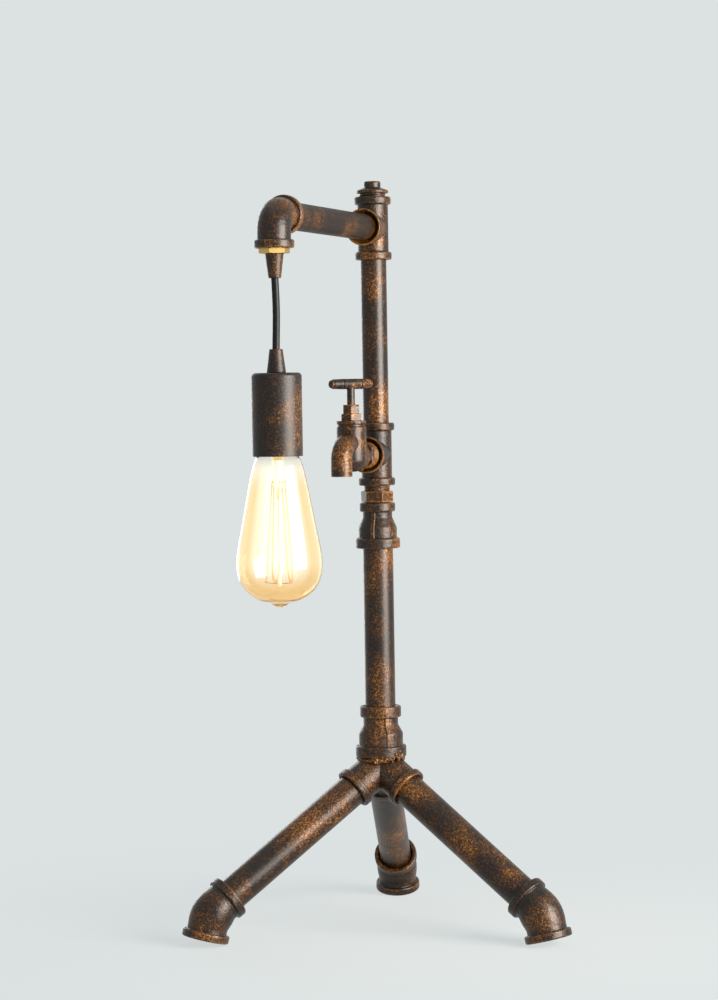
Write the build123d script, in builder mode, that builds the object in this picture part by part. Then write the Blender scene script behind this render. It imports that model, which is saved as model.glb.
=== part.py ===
from build123d import *
from math import asin, cos, degrees, pi, radians, sin, sqrt, tan
import os

# Table lamp built from steam pipe and malleable fittings: a tripod of three legs, a stepped
# column with a bib tap that works the switch, and an arm from which a lampholder hangs.
# Millimetres, +Z up. The column's axis is X = Y = 0 and the feet stand on Z = 0.

# --- Fits -------------------------------------------------------------------------------------
thread_clearance = 0.05  # radial, a screwed pipe or nipple in its socket
running_clearance = 0.05  # radial, the tap's stem in its bores
cord_clearance = 0.3  # radial, a flex in a grip
end_play = 0.4  # axial, between a pipe's end and the bottom of its socket
slip_clearance = 0.25  # radial, an insert in a shell
glass_clearance = 0.05  # radial, the bulb's stem in its neck
cap_clearance = 0.15  # radial, the bulb's neck in its cap

# --- Layout -----------------------------------------------------------------------------------
arm_azimuth = 251.7  # the arm and the tap point this way, in degrees about the column
rear_leg_azimuth = 85.0
leg_slope = degrees(asin(1 / sqrt(3)))  # three outlets square to each other, corner up
leg_exposed = 135.0  # bare pipe between the fittings
lower_pipe_exposed = 131.3
upper_pipe_exposed = 134.6
arm_exposed = 186.0

# --- Half-inch pipe and fittings ----------------------------------------------------------------
half_pipe_radius = 10.65
half_pipe_bore = 8.0
half_body_radius = 12.7
half_collar_radius = 15.1
half_collar_width = 6.3
half_thread_depth = 13.2
half_waterway = 8.5
tee_half_run = 25.9
tee_outlet_reach = 28.0
tee_outlet_body_radius = 12.5
tee_outlet_root = 4.0  # rounding where the outlet flares into its collar
tee_outlet_flare = 3.2  # the outlet's mouth opens out by this much
tee_outlet_edge = 0.5
elbow_reach = 26.0
elbow_bend_radius = 14.0

# --- Three-quarter pipe and fittings ------------------------------------------------------------
leg_pipe_radius = 13.45
leg_pipe_bore = 10.8
leg_body_radius = 15.2
leg_thread_depth = 14.0
leg_waterway = 11.0
corner_reach = 33.0
corner_collar_radius = 17.4
corner_collar_width = 6.6
foot_reach = 22.0
foot_bend = 40.0
foot_bend_radius = 32.0
foot_body_radius = 16.3
foot_swell = 1.2  # the casting is this much fuller at the middle of its bend
foot_sections = 5
foot_collar = (18.5, 7.0)  # radius and width
foot_rim = (19.2, 6.4)
foot_socket_radius = 12.1  # female thread left open in the foot
foot_socket_depth = 11.0

# --- Lower column -------------------------------------------------------------------------------
column_pipe_radius = 12.5
column_pipe_bore = 10.2
column_thread_depth = 14.0
mouth_above_corner = 7.1  # the reducer's mouth stands this far over the legs' crossing
mouth_radius = 16.85
mouth_depth = 15.0
lower_reducer_length = 42.2
lower_mouth_collar = (20.95, 9.4)  # radius and width
lower_bulge = (18.3, 10.3)
lower_shoulder = 7.0
lower_neck_radius = 14.4
lower_top_collar = (17.0, 9.2)
upper_reducer_length = 37.7
upper_mouth_collar = (18.4, 8.4)
upper_bulge = (15.9, 8.6)
upper_shoulder = 8.6
upper_neck_radius = 12.2
upper_top_collar = (14.8, 7.3)
reducer_waterway = 7.5
shoulder_rounding = 3.5
rib_width = 2.8
rib_height = 0.9
rib_overlap = 1.0  # a rib runs this far into the collars
lower_rib_azimuth = 290.0
upper_rib_azimuth = 254.0
casting_edge = 1.3  # rounding of a collar's edges
casting_root = 0.8  # rounding where a collar meets the body
countersink = 2.0  # every socket's mouth opens out by this much
weld_radius = 2.6
weld_pitch = 4.0  # spacing of the ripples round the weld
weld_throat = 1.56  # the ripples' centres lie this far outside the mouth
weld_drop = 2.08  # and this far below it
weld_toe = 1.82
weld_root = 1.0  # the bead reaches this far in under the mouth

# --- Nipple and plug ----------------------------------------------------------------------------
nipple_radius = 10.4
nipple_bore = 7.0
nipple_lower_neck = 0.6
nipple_upper_neck = 4.7
nipple_hex_height = 9.0
nipple_hex_flats = 23.4
nipple_hex_azimuth = 258.4
hex_corner_bevel = 1.0
plug_neck = 2.9
plug_flange_radius = 13.2
plug_flange_edge = 2.3
plug_flange_rounding = 0.9
plug_dome = 2.4
plug_head_radius = 6.85
plug_head_height = 5.2
plug_head_rounding = 1.2
plug_skin = 3.0  # metal left over the plug's hollow

# --- Pendant ------------------------------------------------------------------------------------
bush_radius = 10.3
bush_thread_length = 9.0
bush_hex_flats = 20.6
bush_hex_height = 4.0
bush_hex_azimuth = 283.0
small_thread_radius = 4.9  # ten millimetre lamp thread
upper_thread_length = 7.5
grip_length = 18.3
upper_grip_wide = 7.0
upper_grip_narrow = 4.75
lower_grip_length = 17.7
lower_grip_wide = 7.3
lower_grip_narrow = 5.0
grip_mouth_rounding = 0.5
grip_back_rounding = 0.4
lower_thread_length = 9.5
cord_radius = 2.8
cord_exposed = 53.0
cord_bow = (0.8, 0.64)  # sideways, at the upper and the lower third of the hanging stretch
cord_bend_share = 0.45  # each bend takes up this share of the runs beside it
cup_radius = 18.9
cup_length = 62.4
cup_wall = 1.2
cup_roof = 2.0
cup_edge = 3.0

# --- Lampholder ---------------------------------------------------------------------------------
insert_depth = 5.0  # the insert's mouth lies this far inside the cup's rim
insert_length = 47.0
insert_floor = 4.0
insert_edge = 0.6
insert_roof = 4.0
insert_shoulder_rounding = 1.5
insert_shoulder_radius = 12.45
insert_head_radius = 9.45
socket_radius = 13.75
shell_wall = 0.4
shell_length = 27.0
shell_inset = 1.0  # the shell's mouth lies this far inside the insert's
shell_to_floor = 1.5
cap_radius = 13.0
wire_radius = 1.1
wire_spacing = 1.25
wire_bend_radius = 3.3
terminal_offset = 8.5
terminal_radius = 2.2
terminal_height = 4.5
terminal_rim = 0.8
terminal_rounding = 0.4
tongue_gap = 0.2
tongue_thickness = 0.6
rivet_head = 1.0

# --- Bulb ---------------------------------------------------------------------------------------
cap_inset = 7.6  # the cap's skirt lies this far inside the cup's rim
bulb_neck_height = 121.0
bulb_neck_radius = 12.6
bulb_pip = ((0, 0), (0.8, 3.8), (2.8, 6.9))  # height over the tip and radius
bulb_dome = ((4.4, 12.4), (8.6, 21.0), (15.4, 27.8), (28.8, 32.1), (51.0, 29.9))
bulb_cone = ((39.8, 24.1), (20.0, 20.1), (9.0, 16.4), (3.5, 13.4))  # depth under the neck and radius
glass_wall = 0.8
inner_steps = 24  # points that carry the outer line in by the wall
cap_length = 20.0
cap_wall = 0.4
cap_mouth_rounding = 0.1
cap_shoulder = (2.0, 2.6, 1.0)  # height, taper and rounding of the cap's shoulder
cap_hollow = (2.5, 9.6)  # the hollow's shoulder below the top, and its top radius
neck_in_cap = 8.0  # the glass runs on into the cap by this much
insulator_radius = 10.0
insulator_height = 4.0
contact_height = 1.6
contact_radius = 4.6
contact_foot_radius = 4.2
contact_tip_radius = 2.4
stem_button_height = 84.0
stem_tube_radius = 4.2
stem_rod_radius = 1.5
stem_rod_end = 3.0  # the rod runs on this far under the lower hooks
stem_rounding = 0.7
stem_button = (2.0, 1.0, 1.5)  # half height, slope and rise of the bead that carries the upper hooks
stem_tube_start = 7.0  # above the upper hooks
stem_tube_rounding = 1.0
stem_flare = (10.0, 5.0, 4.0)  # its start under the neck, its end in the neck, and its rounding
stem_flare_lip = 1.0
cage_bottom_height = 19.0
cage_top_radius = 5.0
cage_bottom_radius = 10.5
cage_strands = 10
filament_radius = 0.35
filament_bead = 0.45  # the filament is a little thicker where it turns round a hook
support_radius = 0.3
support_gap = 0.1  # between a hook's root and the stem
hook_gap = 0.05  # between a hook's tip and the filament

# --- Tap ----------------------------------------------------------------------------------------
stem_reach = 64.7
spout_reach = 91.0
spout_radius = 8.6
spout_bore = 6.4
spout_drop = 15.6  # the spout's mouth below the inlet's axis
spout_rise = 13.0
spout_bend_rise = 6.5  # the spout's bend point above the inlet's axis
spout_bend_radius = 13.0
spout_bore_depth = 18.0
tap_thread_end = 15.6
tap_hex_start = 39.0
tap_hex_width = 5.6
tap_hex_flats = 21.8
tap_inlet_radius = 10.2
tap_barrel_radius = 12.0
tap_barrel_rise = 28.6
tap_barrel_drop = 12.6
tap_barrel_rounding = 10.5
tap_lip_height = 2.6
tap_groove_height = 2.2
tap_groove_radius = 11.1
tap_groove_rounding = 0.4
tap_lip_rounding = 0.5
tap_cavity_radius = 8.0
tap_cavity_floor = 3.0  # above the inlet's axis
tap_cavity_sump = 8.0  # hollow left under the switch
tap_inlet_bore = 5.0
bonnet_flats = 15.7
bonnet_height = 5.7
bonnet_thread_length = 6.0
packing_flats = 12.6
packing_hex_height = 6.3
packing_flange_radius = 6.5
packing_flange_height = 1.0
packing_flange_rounding = 0.3
packing_spigot_radius = 4.9
packing_spigot_length = 3.0
packing_ring_height = 1.2
bonnet_azimuth = 300.0
tap_stem_radius = 3.2
handle_height = 58.3  # the bar's axis above the inlet's axis
handle_azimuth = 220.0
handle_half_length = 21.0
handle_radius = 4.2
handle_groove_at = 8.6
handle_groove_width = 1.2
handle_groove_depth = 0.8
handle_groove_edge = 0.3
handle_cap = (2.4, 1.8, 3.2)  # where its step starts and ends, from the bar's end, and its radius
handle_cap_rounding = 0.8
switch_radius = 7.4
switch_height = 12.0
switch_wall = 1.2
switch_rounding = 0.5
rotor_height = 5.0
flex_bend_radius = 11.0
flex_split = 56.0  # the column's flex meets the arm's flex this far above the tap's axis

# --- Sockets that the pipes screw into ----------------------------------------------------------
half_socket_depth = half_thread_depth + end_play
half_socket_radius = half_pipe_radius + thread_clearance
leg_socket_radius = leg_pipe_radius + thread_clearance
column_socket_depth = column_thread_depth + end_play
column_socket_radius = column_pipe_radius + thread_clearance

# --- Places worked out from the sizes above -------------------------------------------------------
up = Vector(0, 0, 1)
down = Vector(0, 0, -1)


def toward(azimuth, dip=0.0):
    """Unit vector at an azimuth about the column, tipped down by the dip, both in degrees."""
    level = cos(radians(dip))
    return Vector(level * cos(radians(azimuth)), level * sin(radians(azimuth)), -sin(radians(dip)))


foot_dip = leg_slope + foot_bend
leg_reach = corner_reach + leg_exposed + foot_reach
rim_drop = (foot_rim[0] - casting_edge) * cos(radians(foot_dip))
rim_drop += casting_edge * (1 - sin(radians(foot_dip)))
corner_height = leg_reach * sin(radians(leg_slope)) + foot_reach * sin(radians(foot_dip)) + rim_drop
lower_reducer_bottom = corner_height + mouth_above_corner
lower_reducer_top = lower_reducer_bottom + lower_reducer_length
upper_reducer_bottom = lower_reducer_top + lower_pipe_exposed
upper_reducer_top = upper_reducer_bottom + upper_reducer_length
nipple_hex_bottom = upper_reducer_top + nipple_lower_neck
mid_tee_bottom = nipple_hex_bottom + nipple_hex_height + nipple_upper_neck
tap_height = mid_tee_bottom + tee_half_run
mid_tee_top = tap_height + tee_half_run
top_tee_bottom = mid_tee_top + upper_pipe_exposed
arm_height = top_tee_bottom + tee_half_run
top_tee_top = arm_height + tee_half_run
arm_reach = tee_outlet_reach + arm_exposed + elbow_reach

arm_direction = toward(arm_azimuth)
arm_side = toward(arm_azimuth + 90)
pendant_foot = arm_direction * arm_reach
bush_bottom = arm_height - elbow_reach - bush_hex_height
upper_pivot_height = bush_bottom - grip_length
lower_pivot_height = upper_pivot_height - cord_exposed
cup_top = lower_pivot_height - lower_grip_length
cup_bottom = cup_top - cup_length
cap_bottom = cup_bottom + cap_inset
bulb_tip = cap_bottom - bulb_neck_height
leg_azimuths = {
    "rear": rear_leg_azimuth,
    "left": rear_leg_azimuth + 120,
    "right": rear_leg_azimuth + 240,
}


def pendant_at(height):
    """Point on the pendant's axis at a height."""
    return pendant_foot + up * height


def column_at(height):
    """Point on the column's axis at a height."""
    return up * height


# --- Shapes that the fittings share ---------------------------------------------------------------
def outline_plane(origin, direction):
    """Plane whose local X runs along a direction; half outlines are drawn on it above that X."""
    side = direction.cross(up)
    if side.length < 0.001:
        side = Vector(0, -direction.Z, 0)
    return Plane(origin=origin, x_dir=direction, z_dir=side)


def turned(origin, direction, outline, mode=Mode.ADD):
    """Revolve a half outline about a direction.

    A corner is (distance, radius), or (distance, radius, rounding) where it is rounded.
    """
    with BuildSketch(outline_plane(origin, direction)) as profile:
        with BuildLine():
            Polyline(*[corner[:2] for corner in outline], close=True)
        make_face()
        for corner in outline:
            if len(corner) == 3:
                fillet(profile.vertices().sort_by_distance(corner[:2])[0], corner[2])
    revolve(profile.sketch, axis=Axis(origin, direction), mode=mode)


def drilled(origin, direction, start, stop, radius):
    """Cut a round hole from one distance to another along a direction."""
    with BuildSketch(Plane(origin=origin + direction * start, z_dir=direction)) as hole:
        Circle(radius)
    extrude(hole.sketch, amount=stop - start, mode=Mode.SUBTRACT)


def socket(origin, direction, reach, depth, radius, flare=countersink):
    """Bore an outlet for a thread, with its mouth opened out."""
    drilled(origin, direction, reach - depth, reach, radius)
    mouth = [
        (reach - flare, 0),
        (reach - flare, radius),
        (reach, radius + flare),
        (reach, 0),
    ]
    turned(origin, direction, mouth, mode=Mode.SUBTRACT)


def tube(origin, direction, start, stop, radius, bore):
    """A straight pipe between two distances along a direction."""
    with BuildSketch(Plane(origin=origin + direction * start, z_dir=direction)) as ring:
        Circle(radius)
        Circle(bore, mode=Mode.SUBTRACT)
    extrude(ring.sketch, amount=stop - start)


def tube_run(start, stop, radius):
    """A solid round bar between two points."""
    run = stop - start
    with BuildSketch(Plane(origin=start, z_dir=run)) as section:
        Circle(radius)
    extrude(section.sketch, amount=run.length)


def swept(points, radius, bend_radius, mode=Mode.ADD):
    """A round bar along straight runs joined by tangent bends."""
    with BuildLine() as centre_line:
        FilletPolyline(*points, radius=bend_radius)
    with BuildSketch(Plane(origin=points[0], z_dir=points[1] - points[0])) as section:
        Circle(radius)
    sweep(section.sketch, path=centre_line.wires()[0], mode=mode)


def hexagon(origin, direction, azimuth, flats, height):
    """A hexagon with its corners bevelled at both ends, one flat facing an azimuth."""
    corner_radius = flats / sqrt(3)
    facing = toward(azimuth)
    with BuildSketch(Plane(origin=origin, x_dir=facing, z_dir=direction)) as flats_outline:
        RegularPolygon(radius=corner_radius, side_count=6, rotation=30)
    extrude(flats_outline.sketch, amount=height)
    bevel_drop = hex_corner_bevel * tan(radians(30))
    bevelled = [
        (0, 0),
        (0, corner_radius - hex_corner_bevel),
        (bevel_drop, corner_radius),
        (height - bevel_drop, corner_radius),
        (height, corner_radius - hex_corner_bevel),
        (height, 0),
    ]
    turned(origin, direction, bevelled, mode=Mode.INTERSECT)


def barrel(origin, direction, reach, body_radius, collar_radius, collar_width, start=0.0):
    """One outlet of a malleable fitting: a barrel that ends in a rounded collar."""
    outline = [
        (start, 0),
        (start, body_radius),
        (reach - collar_width, body_radius, casting_root),
        (reach - collar_width, collar_radius, casting_edge),
        (reach, collar_radius, casting_edge),
        (reach, 0),
    ]
    turned(origin, direction, outline)


def collar(origin, direction, reach, collar_radius, collar_width):
    """The rounded collar alone, for the end of a bent barrel."""
    outline = [
        (reach - collar_width, 0),
        (reach - collar_width, collar_radius, casting_edge),
        (reach, collar_radius, casting_edge),
        (reach, 0),
    ]
    turned(origin, direction, outline)


def half_inch_tee(centre):
    """Equal tee on the column with its outlet along the arm's direction."""
    for way in (up, down):
        barrel(centre, way, tee_half_run, half_body_radius, half_collar_radius, half_collar_width)
    outlet = [
        (0, 0),
        (0, tee_outlet_body_radius),
        (tee_outlet_reach - half_collar_width - tee_outlet_root, tee_outlet_body_radius, tee_outlet_root),
        (tee_outlet_reach - half_collar_width / 2, half_collar_radius, casting_edge),
        (tee_outlet_reach, half_collar_radius, tee_outlet_edge),
        (tee_outlet_reach, 0),
    ]
    turned(centre, arm_direction, outlet)
    for way, reach, flare in (
        (up, tee_half_run, countersink),
        (down, tee_half_run, countersink),
        (arm_direction, tee_outlet_reach, tee_outlet_flare),
    ):
        drilled(centre, way, 0, reach, half_waterway)
        socket(centre, way, reach, half_socket_depth, half_socket_radius, flare)


def reducer(bottom, length, mouth_collar, bulge, shoulder, neck_radius, top_collar, rib_azimuth):
    """Reducing socket, wide end down, with a casting rib on two opposite sides."""
    bulge_start = mouth_collar[1]
    shoulder_start = bulge_start + bulge[1]
    neck_start = shoulder_start + shoulder
    top_start = length - top_collar[1]
    outline = [
        (0, 0),
        (0, mouth_collar[0], casting_edge),
        (bulge_start, mouth_collar[0], casting_edge),
        (bulge_start, bulge[0], casting_root),
        (shoulder_start, bulge[0], shoulder_rounding),
        (neck_start, neck_radius, shoulder_rounding),
        (top_start, neck_radius, casting_root),
        (top_start, top_collar[0], casting_edge),
        (length, top_collar[0], casting_edge),
        (length, 0),
    ]
    turned(column_at(bottom), up, outline)
    rib_outline = [
        (bulge_start - rib_overlap, 0),
        (bulge_start - rib_overlap, bulge[0] + rib_height),
        (shoulder_start, bulge[0] + rib_height),
        (neck_start, neck_radius + rib_height),
        (top_start + rib_overlap, neck_radius + rib_height),
        (top_start + rib_overlap, 0),
    ]
    for azimuth in (rib_azimuth, rib_azimuth + 180):
        rib_plane = Plane(origin=column_at(bottom), x_dir=up, z_dir=up.cross(toward(azimuth)))
        with BuildSketch(rib_plane) as rib:
            with BuildLine():
                Polyline(*rib_outline, close=True)
            make_face()
        extrude(rib.sketch, amount=rib_width / 2, both=True)


def finished(name, part):
    """Label a finished piece and write it."""
    part.label = name
    export_step(part, f"parts/{name}.step")


# --- Corner fitting: three outlets square to each other, point upward --------------------------
corner_point = column_at(corner_height)
with BuildPart() as corner_fitting:
    with Locations(corner_point):
        Sphere(leg_body_radius)
    for azimuth in leg_azimuths.values():
        outward = toward(azimuth, leg_slope)
        barrel(
            corner_point,
            outward,
            corner_reach,
            leg_body_radius,
            corner_collar_radius,
            corner_collar_width,
        )
    for azimuth in leg_azimuths.values():
        outward = toward(azimuth, leg_slope)
        drilled(corner_point, outward, 0, corner_reach, leg_waterway)
        socket_depth = leg_thread_depth + end_play
        socket(corner_point, outward, corner_reach, socket_depth, leg_socket_radius)
    with Locations(corner_point):
        Sphere(leg_waterway, mode=Mode.SUBTRACT)
finished("corner_fitting", corner_fitting.part)

# --- Legs and feet ----------------------------------------------------------------------------
for side, azimuth in leg_azimuths.items():
    outward = toward(azimuth, leg_slope)
    tread = toward(azimuth, foot_dip)
    knee = corner_point + outward * leg_reach
    with BuildPart() as leg:
        tube(
            corner_point,
            outward,
            corner_reach - leg_thread_depth,
            leg_reach - foot_reach + foot_socket_depth,
            leg_pipe_radius,
            leg_pipe_bore,
        )
    finished(f"leg_{side}", leg.part)

    inward = outward * -1
    bend_start = foot_bend_radius * tan(radians(foot_bend / 2))
    into_bend = toward(azimuth, leg_slope + 90)
    bend_centre = knee + inward * bend_start + into_bend * foot_bend_radius
    with BuildPart() as foot:
        for section in range(foot_sections):
            share = section / (foot_sections - 1)
            section_dip = leg_slope + foot_bend * share
            section_centre = bend_centre - toward(azimuth, section_dip + 90) * foot_bend_radius
            with BuildSketch(
                Plane(
                    origin=section_centre,
                    x_dir=toward(azimuth + 90),
                    z_dir=toward(azimuth, section_dip),
                )
            ):
                Circle(foot_body_radius + foot_swell * sin(pi * share))
        loft()
        for way, (collar_radius, collar_width) in ((inward, foot_collar), (tread, foot_rim)):
            barrel(
                knee,
                way,
                foot_reach,
                foot_body_radius,
                collar_radius,
                collar_width,
                start=bend_start,
            )
        foot_line = (knee + inward * foot_reach, knee, knee + tread * foot_reach)
        swept(foot_line, leg_waterway, foot_bend_radius, mode=Mode.SUBTRACT)
        socket(knee, inward, foot_reach, foot_socket_depth + end_play, leg_socket_radius)
        socket(knee, tread, foot_reach, foot_socket_depth, foot_socket_radius)
    finished(f"foot_{side}", foot.part)

# --- Lower column -----------------------------------------------------------------------------
with BuildPart() as lower_reducer:
    reducer(
        lower_reducer_bottom,
        lower_reducer_length,
        lower_mouth_collar,
        lower_bulge,
        lower_shoulder,
        lower_neck_radius,
        lower_top_collar,
        lower_rib_azimuth,
    )
    foot_of_reducer = column_at(lower_reducer_bottom)
    drilled(foot_of_reducer, up, 0, lower_reducer_length, reducer_waterway)
    drilled(foot_of_reducer, up, 0, mouth_depth, mouth_radius)
    socket(foot_of_reducer, up, lower_reducer_length, column_socket_depth, column_socket_radius)
finished("lower_reducer", lower_reducer.part)

with BuildPart() as lower_pipe:
    tube(
        column_at(0),
        up,
        lower_reducer_top - column_thread_depth,
        upper_reducer_bottom + column_thread_depth,
        column_pipe_radius,
        column_pipe_bore,
    )
finished("lower_pipe", lower_pipe.part)

with BuildPart() as upper_reducer:
    reducer(
        upper_reducer_bottom,
        upper_reducer_length,
        upper_mouth_collar,
        upper_bulge,
        upper_shoulder,
        upper_neck_radius,
        upper_top_collar,
        upper_rib_azimuth,
    )
    foot_of_reducer = column_at(upper_reducer_bottom)
    head_of_reducer = column_at(upper_reducer_top)
    drilled(foot_of_reducer, up, 0, upper_reducer_length, reducer_waterway)
    socket(head_of_reducer, down, upper_reducer_length, column_socket_depth, column_socket_radius)
    socket(
        foot_of_reducer,
        up,
        upper_reducer_length,
        half_socket_depth,
        nipple_radius + thread_clearance,
    )
finished("upper_reducer", upper_reducer.part)

# Weld bead: a ring of ripples that fills the angle between the reducer's mouth and the fitting.
with BuildPart() as weld_bead:
    weld_circle = mouth_radius + weld_throat
    ripple_count = round(2 * pi * weld_circle / weld_pitch)
    ring = [
        (-weld_radius, mouth_radius - weld_root),
        (0, mouth_radius - weld_root),
        (0, weld_circle + weld_toe),
        (-weld_radius, weld_circle),
    ]
    turned(column_at(lower_reducer_bottom), up, ring)
    with Locations(Plane(origin=column_at(lower_reducer_bottom - weld_drop))):
        with PolarLocations(weld_circle, ripple_count):
            Sphere(weld_radius)
    drilled(column_at(lower_reducer_bottom), up, 0, weld_radius * 2, weld_circle + weld_radius * 2)
    add(corner_fitting.part, mode=Mode.SUBTRACT)
finished("weld_bead", weld_bead.part)

# --- Upper column -----------------------------------------------------------------------------
with BuildPart() as hex_nipple:
    hexagon(column_at(nipple_hex_bottom), up, nipple_hex_azimuth, nipple_hex_flats, nipple_hex_height)
    nipple_bottom = upper_reducer_top - half_thread_depth
    nipple_top = mid_tee_bottom + half_thread_depth
    tube(column_at(0), up, nipple_bottom, nipple_top, nipple_radius, nipple_bore)
    drilled(column_at(0), up, nipple_bottom, nipple_top, nipple_bore)
finished("hex_nipple", hex_nipple.part)

with BuildPart() as mid_tee:
    half_inch_tee(column_at(tap_height))
finished("mid_tee", mid_tee.part)

with BuildPart() as upper_pipe:
    tube(
        column_at(0),
        up,
        mid_tee_top - half_thread_depth,
        top_tee_bottom + half_thread_depth,
        half_pipe_radius,
        half_pipe_bore,
    )
finished("upper_pipe", upper_pipe.part)

with BuildPart() as top_tee:
    half_inch_tee(column_at(arm_height))
finished("top_tee", top_tee.part)

with BuildPart() as top_plug:
    plug_bottom = top_tee_top - half_thread_depth
    flange_height = half_thread_depth + plug_neck
    dome_height = flange_height + plug_flange_edge
    head_height = dome_height + plug_dome
    plug_outline = [
        (0, 0),
        (0, nipple_radius),
        (flange_height, nipple_radius),
        (flange_height, plug_flange_radius, plug_flange_rounding),
        (dome_height, plug_flange_radius, plug_flange_rounding),
        (head_height, plug_head_radius),
        (head_height + plug_head_height, plug_head_radius, plug_head_rounding),
        (head_height + plug_head_height, 0),
    ]
    turned(column_at(plug_bottom), up, plug_outline)
    drilled(column_at(plug_bottom), up, 0, flange_height - plug_skin, nipple_bore)
finished("top_plug", top_plug.part)

# --- Arm --------------------------------------------------------------------------------------
arm_root = column_at(arm_height)
elbow_corner = pendant_at(arm_height)
with BuildPart() as arm_pipe:
    tube(
        arm_root,
        arm_direction,
        tee_outlet_reach - half_thread_depth,
        arm_reach - elbow_reach + half_thread_depth,
        half_pipe_radius,
        half_pipe_bore,
    )
finished("arm_pipe", arm_pipe.part)

with BuildPart() as arm_elbow:
    back = arm_direction * -1
    elbow_line = (
        elbow_corner + back * elbow_reach,
        elbow_corner,
        elbow_corner + down * elbow_reach,
    )
    swept(elbow_line, half_body_radius, elbow_bend_radius)
    for way in (back, down):
        collar(elbow_corner, way, elbow_reach, half_collar_radius, half_collar_width)
    swept(elbow_line, half_waterway, elbow_bend_radius, mode=Mode.SUBTRACT)
    socket(elbow_corner, back, elbow_reach, half_socket_depth, half_socket_radius)
    socket(
        elbow_corner,
        down,
        elbow_reach,
        bush_thread_length + end_play,
        bush_radius + thread_clearance,
    )
finished("arm_elbow", arm_elbow.part)

# --- Pendant's upper end ------------------------------------------------------------------------
flex_hole = cord_radius + cord_clearance
with BuildPart() as brass_bush:
    hexagon(pendant_at(bush_bottom), up, bush_hex_azimuth, bush_hex_flats, bush_hex_height)
    tube(
        pendant_at(bush_bottom),
        up,
        bush_hex_height,
        bush_hex_height + bush_thread_length,
        bush_radius,
        half_waterway,
    )
    drilled(pendant_at(bush_bottom), up, 0, bush_hex_height, small_thread_radius + thread_clearance)
finished("brass_bush", brass_bush.part)


def cord_grip(mouth, direction, length, narrow, wide, thread_length):
    """Conical grip with its mouth at the cord and a hollow thread at its wide end."""
    outline = [
        (0, 0),
        (0, narrow, grip_mouth_rounding),
        (length, wide, grip_back_rounding),
        (length, small_thread_radius),
        (length + thread_length, small_thread_radius),
        (length + thread_length, 0),
    ]
    turned(mouth, direction, outline)
    drilled(mouth, direction, 0, length + thread_length, flex_hole)


with BuildPart() as upper_grip:
    cord_grip(
        pendant_at(upper_pivot_height),
        up,
        grip_length,
        upper_grip_narrow,
        upper_grip_wide,
        upper_thread_length,
    )
finished("upper_grip", upper_grip.part)

# Hanging stretch of flex: round ends in the mouths of both grips, with a slight bow between.
with BuildPart() as pendant_cord:
    bow_step = cord_exposed / 3
    cord_route = [
        pendant_at(upper_pivot_height),
        pendant_at(upper_pivot_height - bow_step) + arm_side * cord_bow[0],
        pendant_at(lower_pivot_height + bow_step) + arm_side * cord_bow[1],
        pendant_at(lower_pivot_height),
    ]
    cord_turns = [
        (cord_route[i] - cord_route[i - 1]).get_angle(cord_route[i + 1] - cord_route[i])
        for i in (1, 2)
    ]
    cord_radii = [cord_bend_share * bow_step / tan(radians(turn / 2)) for turn in cord_turns]
    swept(cord_route, cord_radius, cord_radii)
    with Locations(cord_route[0], cord_route[-1]):
        Sphere(cord_radius)
finished("pendant_cord", pendant_cord.part)
print("pendant cord radii", [round(radius, 1) for radius in cord_radii])

with BuildPart() as lower_grip:
    cord_grip(
        pendant_at(lower_pivot_height),
        down,
        lower_grip_length,
        lower_grip_narrow,
        lower_grip_wide,
        lower_thread_length,
    )
finished("lower_grip", lower_grip.part)

# --- Lampholder ---------------------------------------------------------------------------------
with BuildPart() as lampholder_cup:
    cup_outline = [
        (0, small_thread_radius + thread_clearance),
        (0, cup_radius, cup_edge),
        (cup_length, cup_radius),
        (cup_length, cup_radius - cup_wall),
        (cup_roof, cup_radius - cup_wall, cup_edge - cup_wall),
        (cup_roof, small_thread_radius + thread_clearance),
    ]
    turned(pendant_at(cup_top), down, cup_outline)
finished("lampholder_cup", lampholder_cup.part)

insert_bottom = cup_bottom + insert_depth
insert_top = insert_bottom + insert_length
shell_bottom = insert_bottom + shell_inset
shell_top = shell_bottom + shell_length
floor_bottom = shell_top + shell_to_floor
floor_top = floor_bottom + insert_floor
insert_radius = cup_radius - cup_wall - slip_clearance
with BuildPart() as lampholder_insert:
    insert_outline = [
        (insert_bottom, socket_radius),
        (insert_bottom, insert_radius, insert_edge),
        (insert_top - insert_roof, insert_radius, insert_shoulder_rounding),
        (insert_top, insert_shoulder_radius, insert_shoulder_rounding),
        (cup_top - cup_roof, insert_head_radius),
        (cup_top - cup_roof, small_thread_radius + thread_clearance),
        (insert_top - insert_roof, small_thread_radius + thread_clearance),
        (insert_top - insert_roof, socket_radius),
    ]
    turned(pendant_at(0), up, insert_outline)
    floor_radius = (socket_radius + insert_radius) / 2
    tube(pendant_at(0), up, floor_bottom, floor_top, floor_radius, terminal_radius)
    terminal_bore = terminal_radius + thread_clearance
    for offset in (terminal_offset, -terminal_offset):
        drilled(pendant_at(0) + arm_side * offset, up, floor_bottom, floor_top, terminal_bore)
finished("lampholder_insert", lampholder_insert.part)

with BuildPart() as socket_shell:
    shell_outer = socket_radius - thread_clearance
    tube(pendant_at(0), up, shell_bottom, shell_top, shell_outer, shell_outer - shell_wall)
finished("socket_shell", socket_shell.part)

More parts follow.
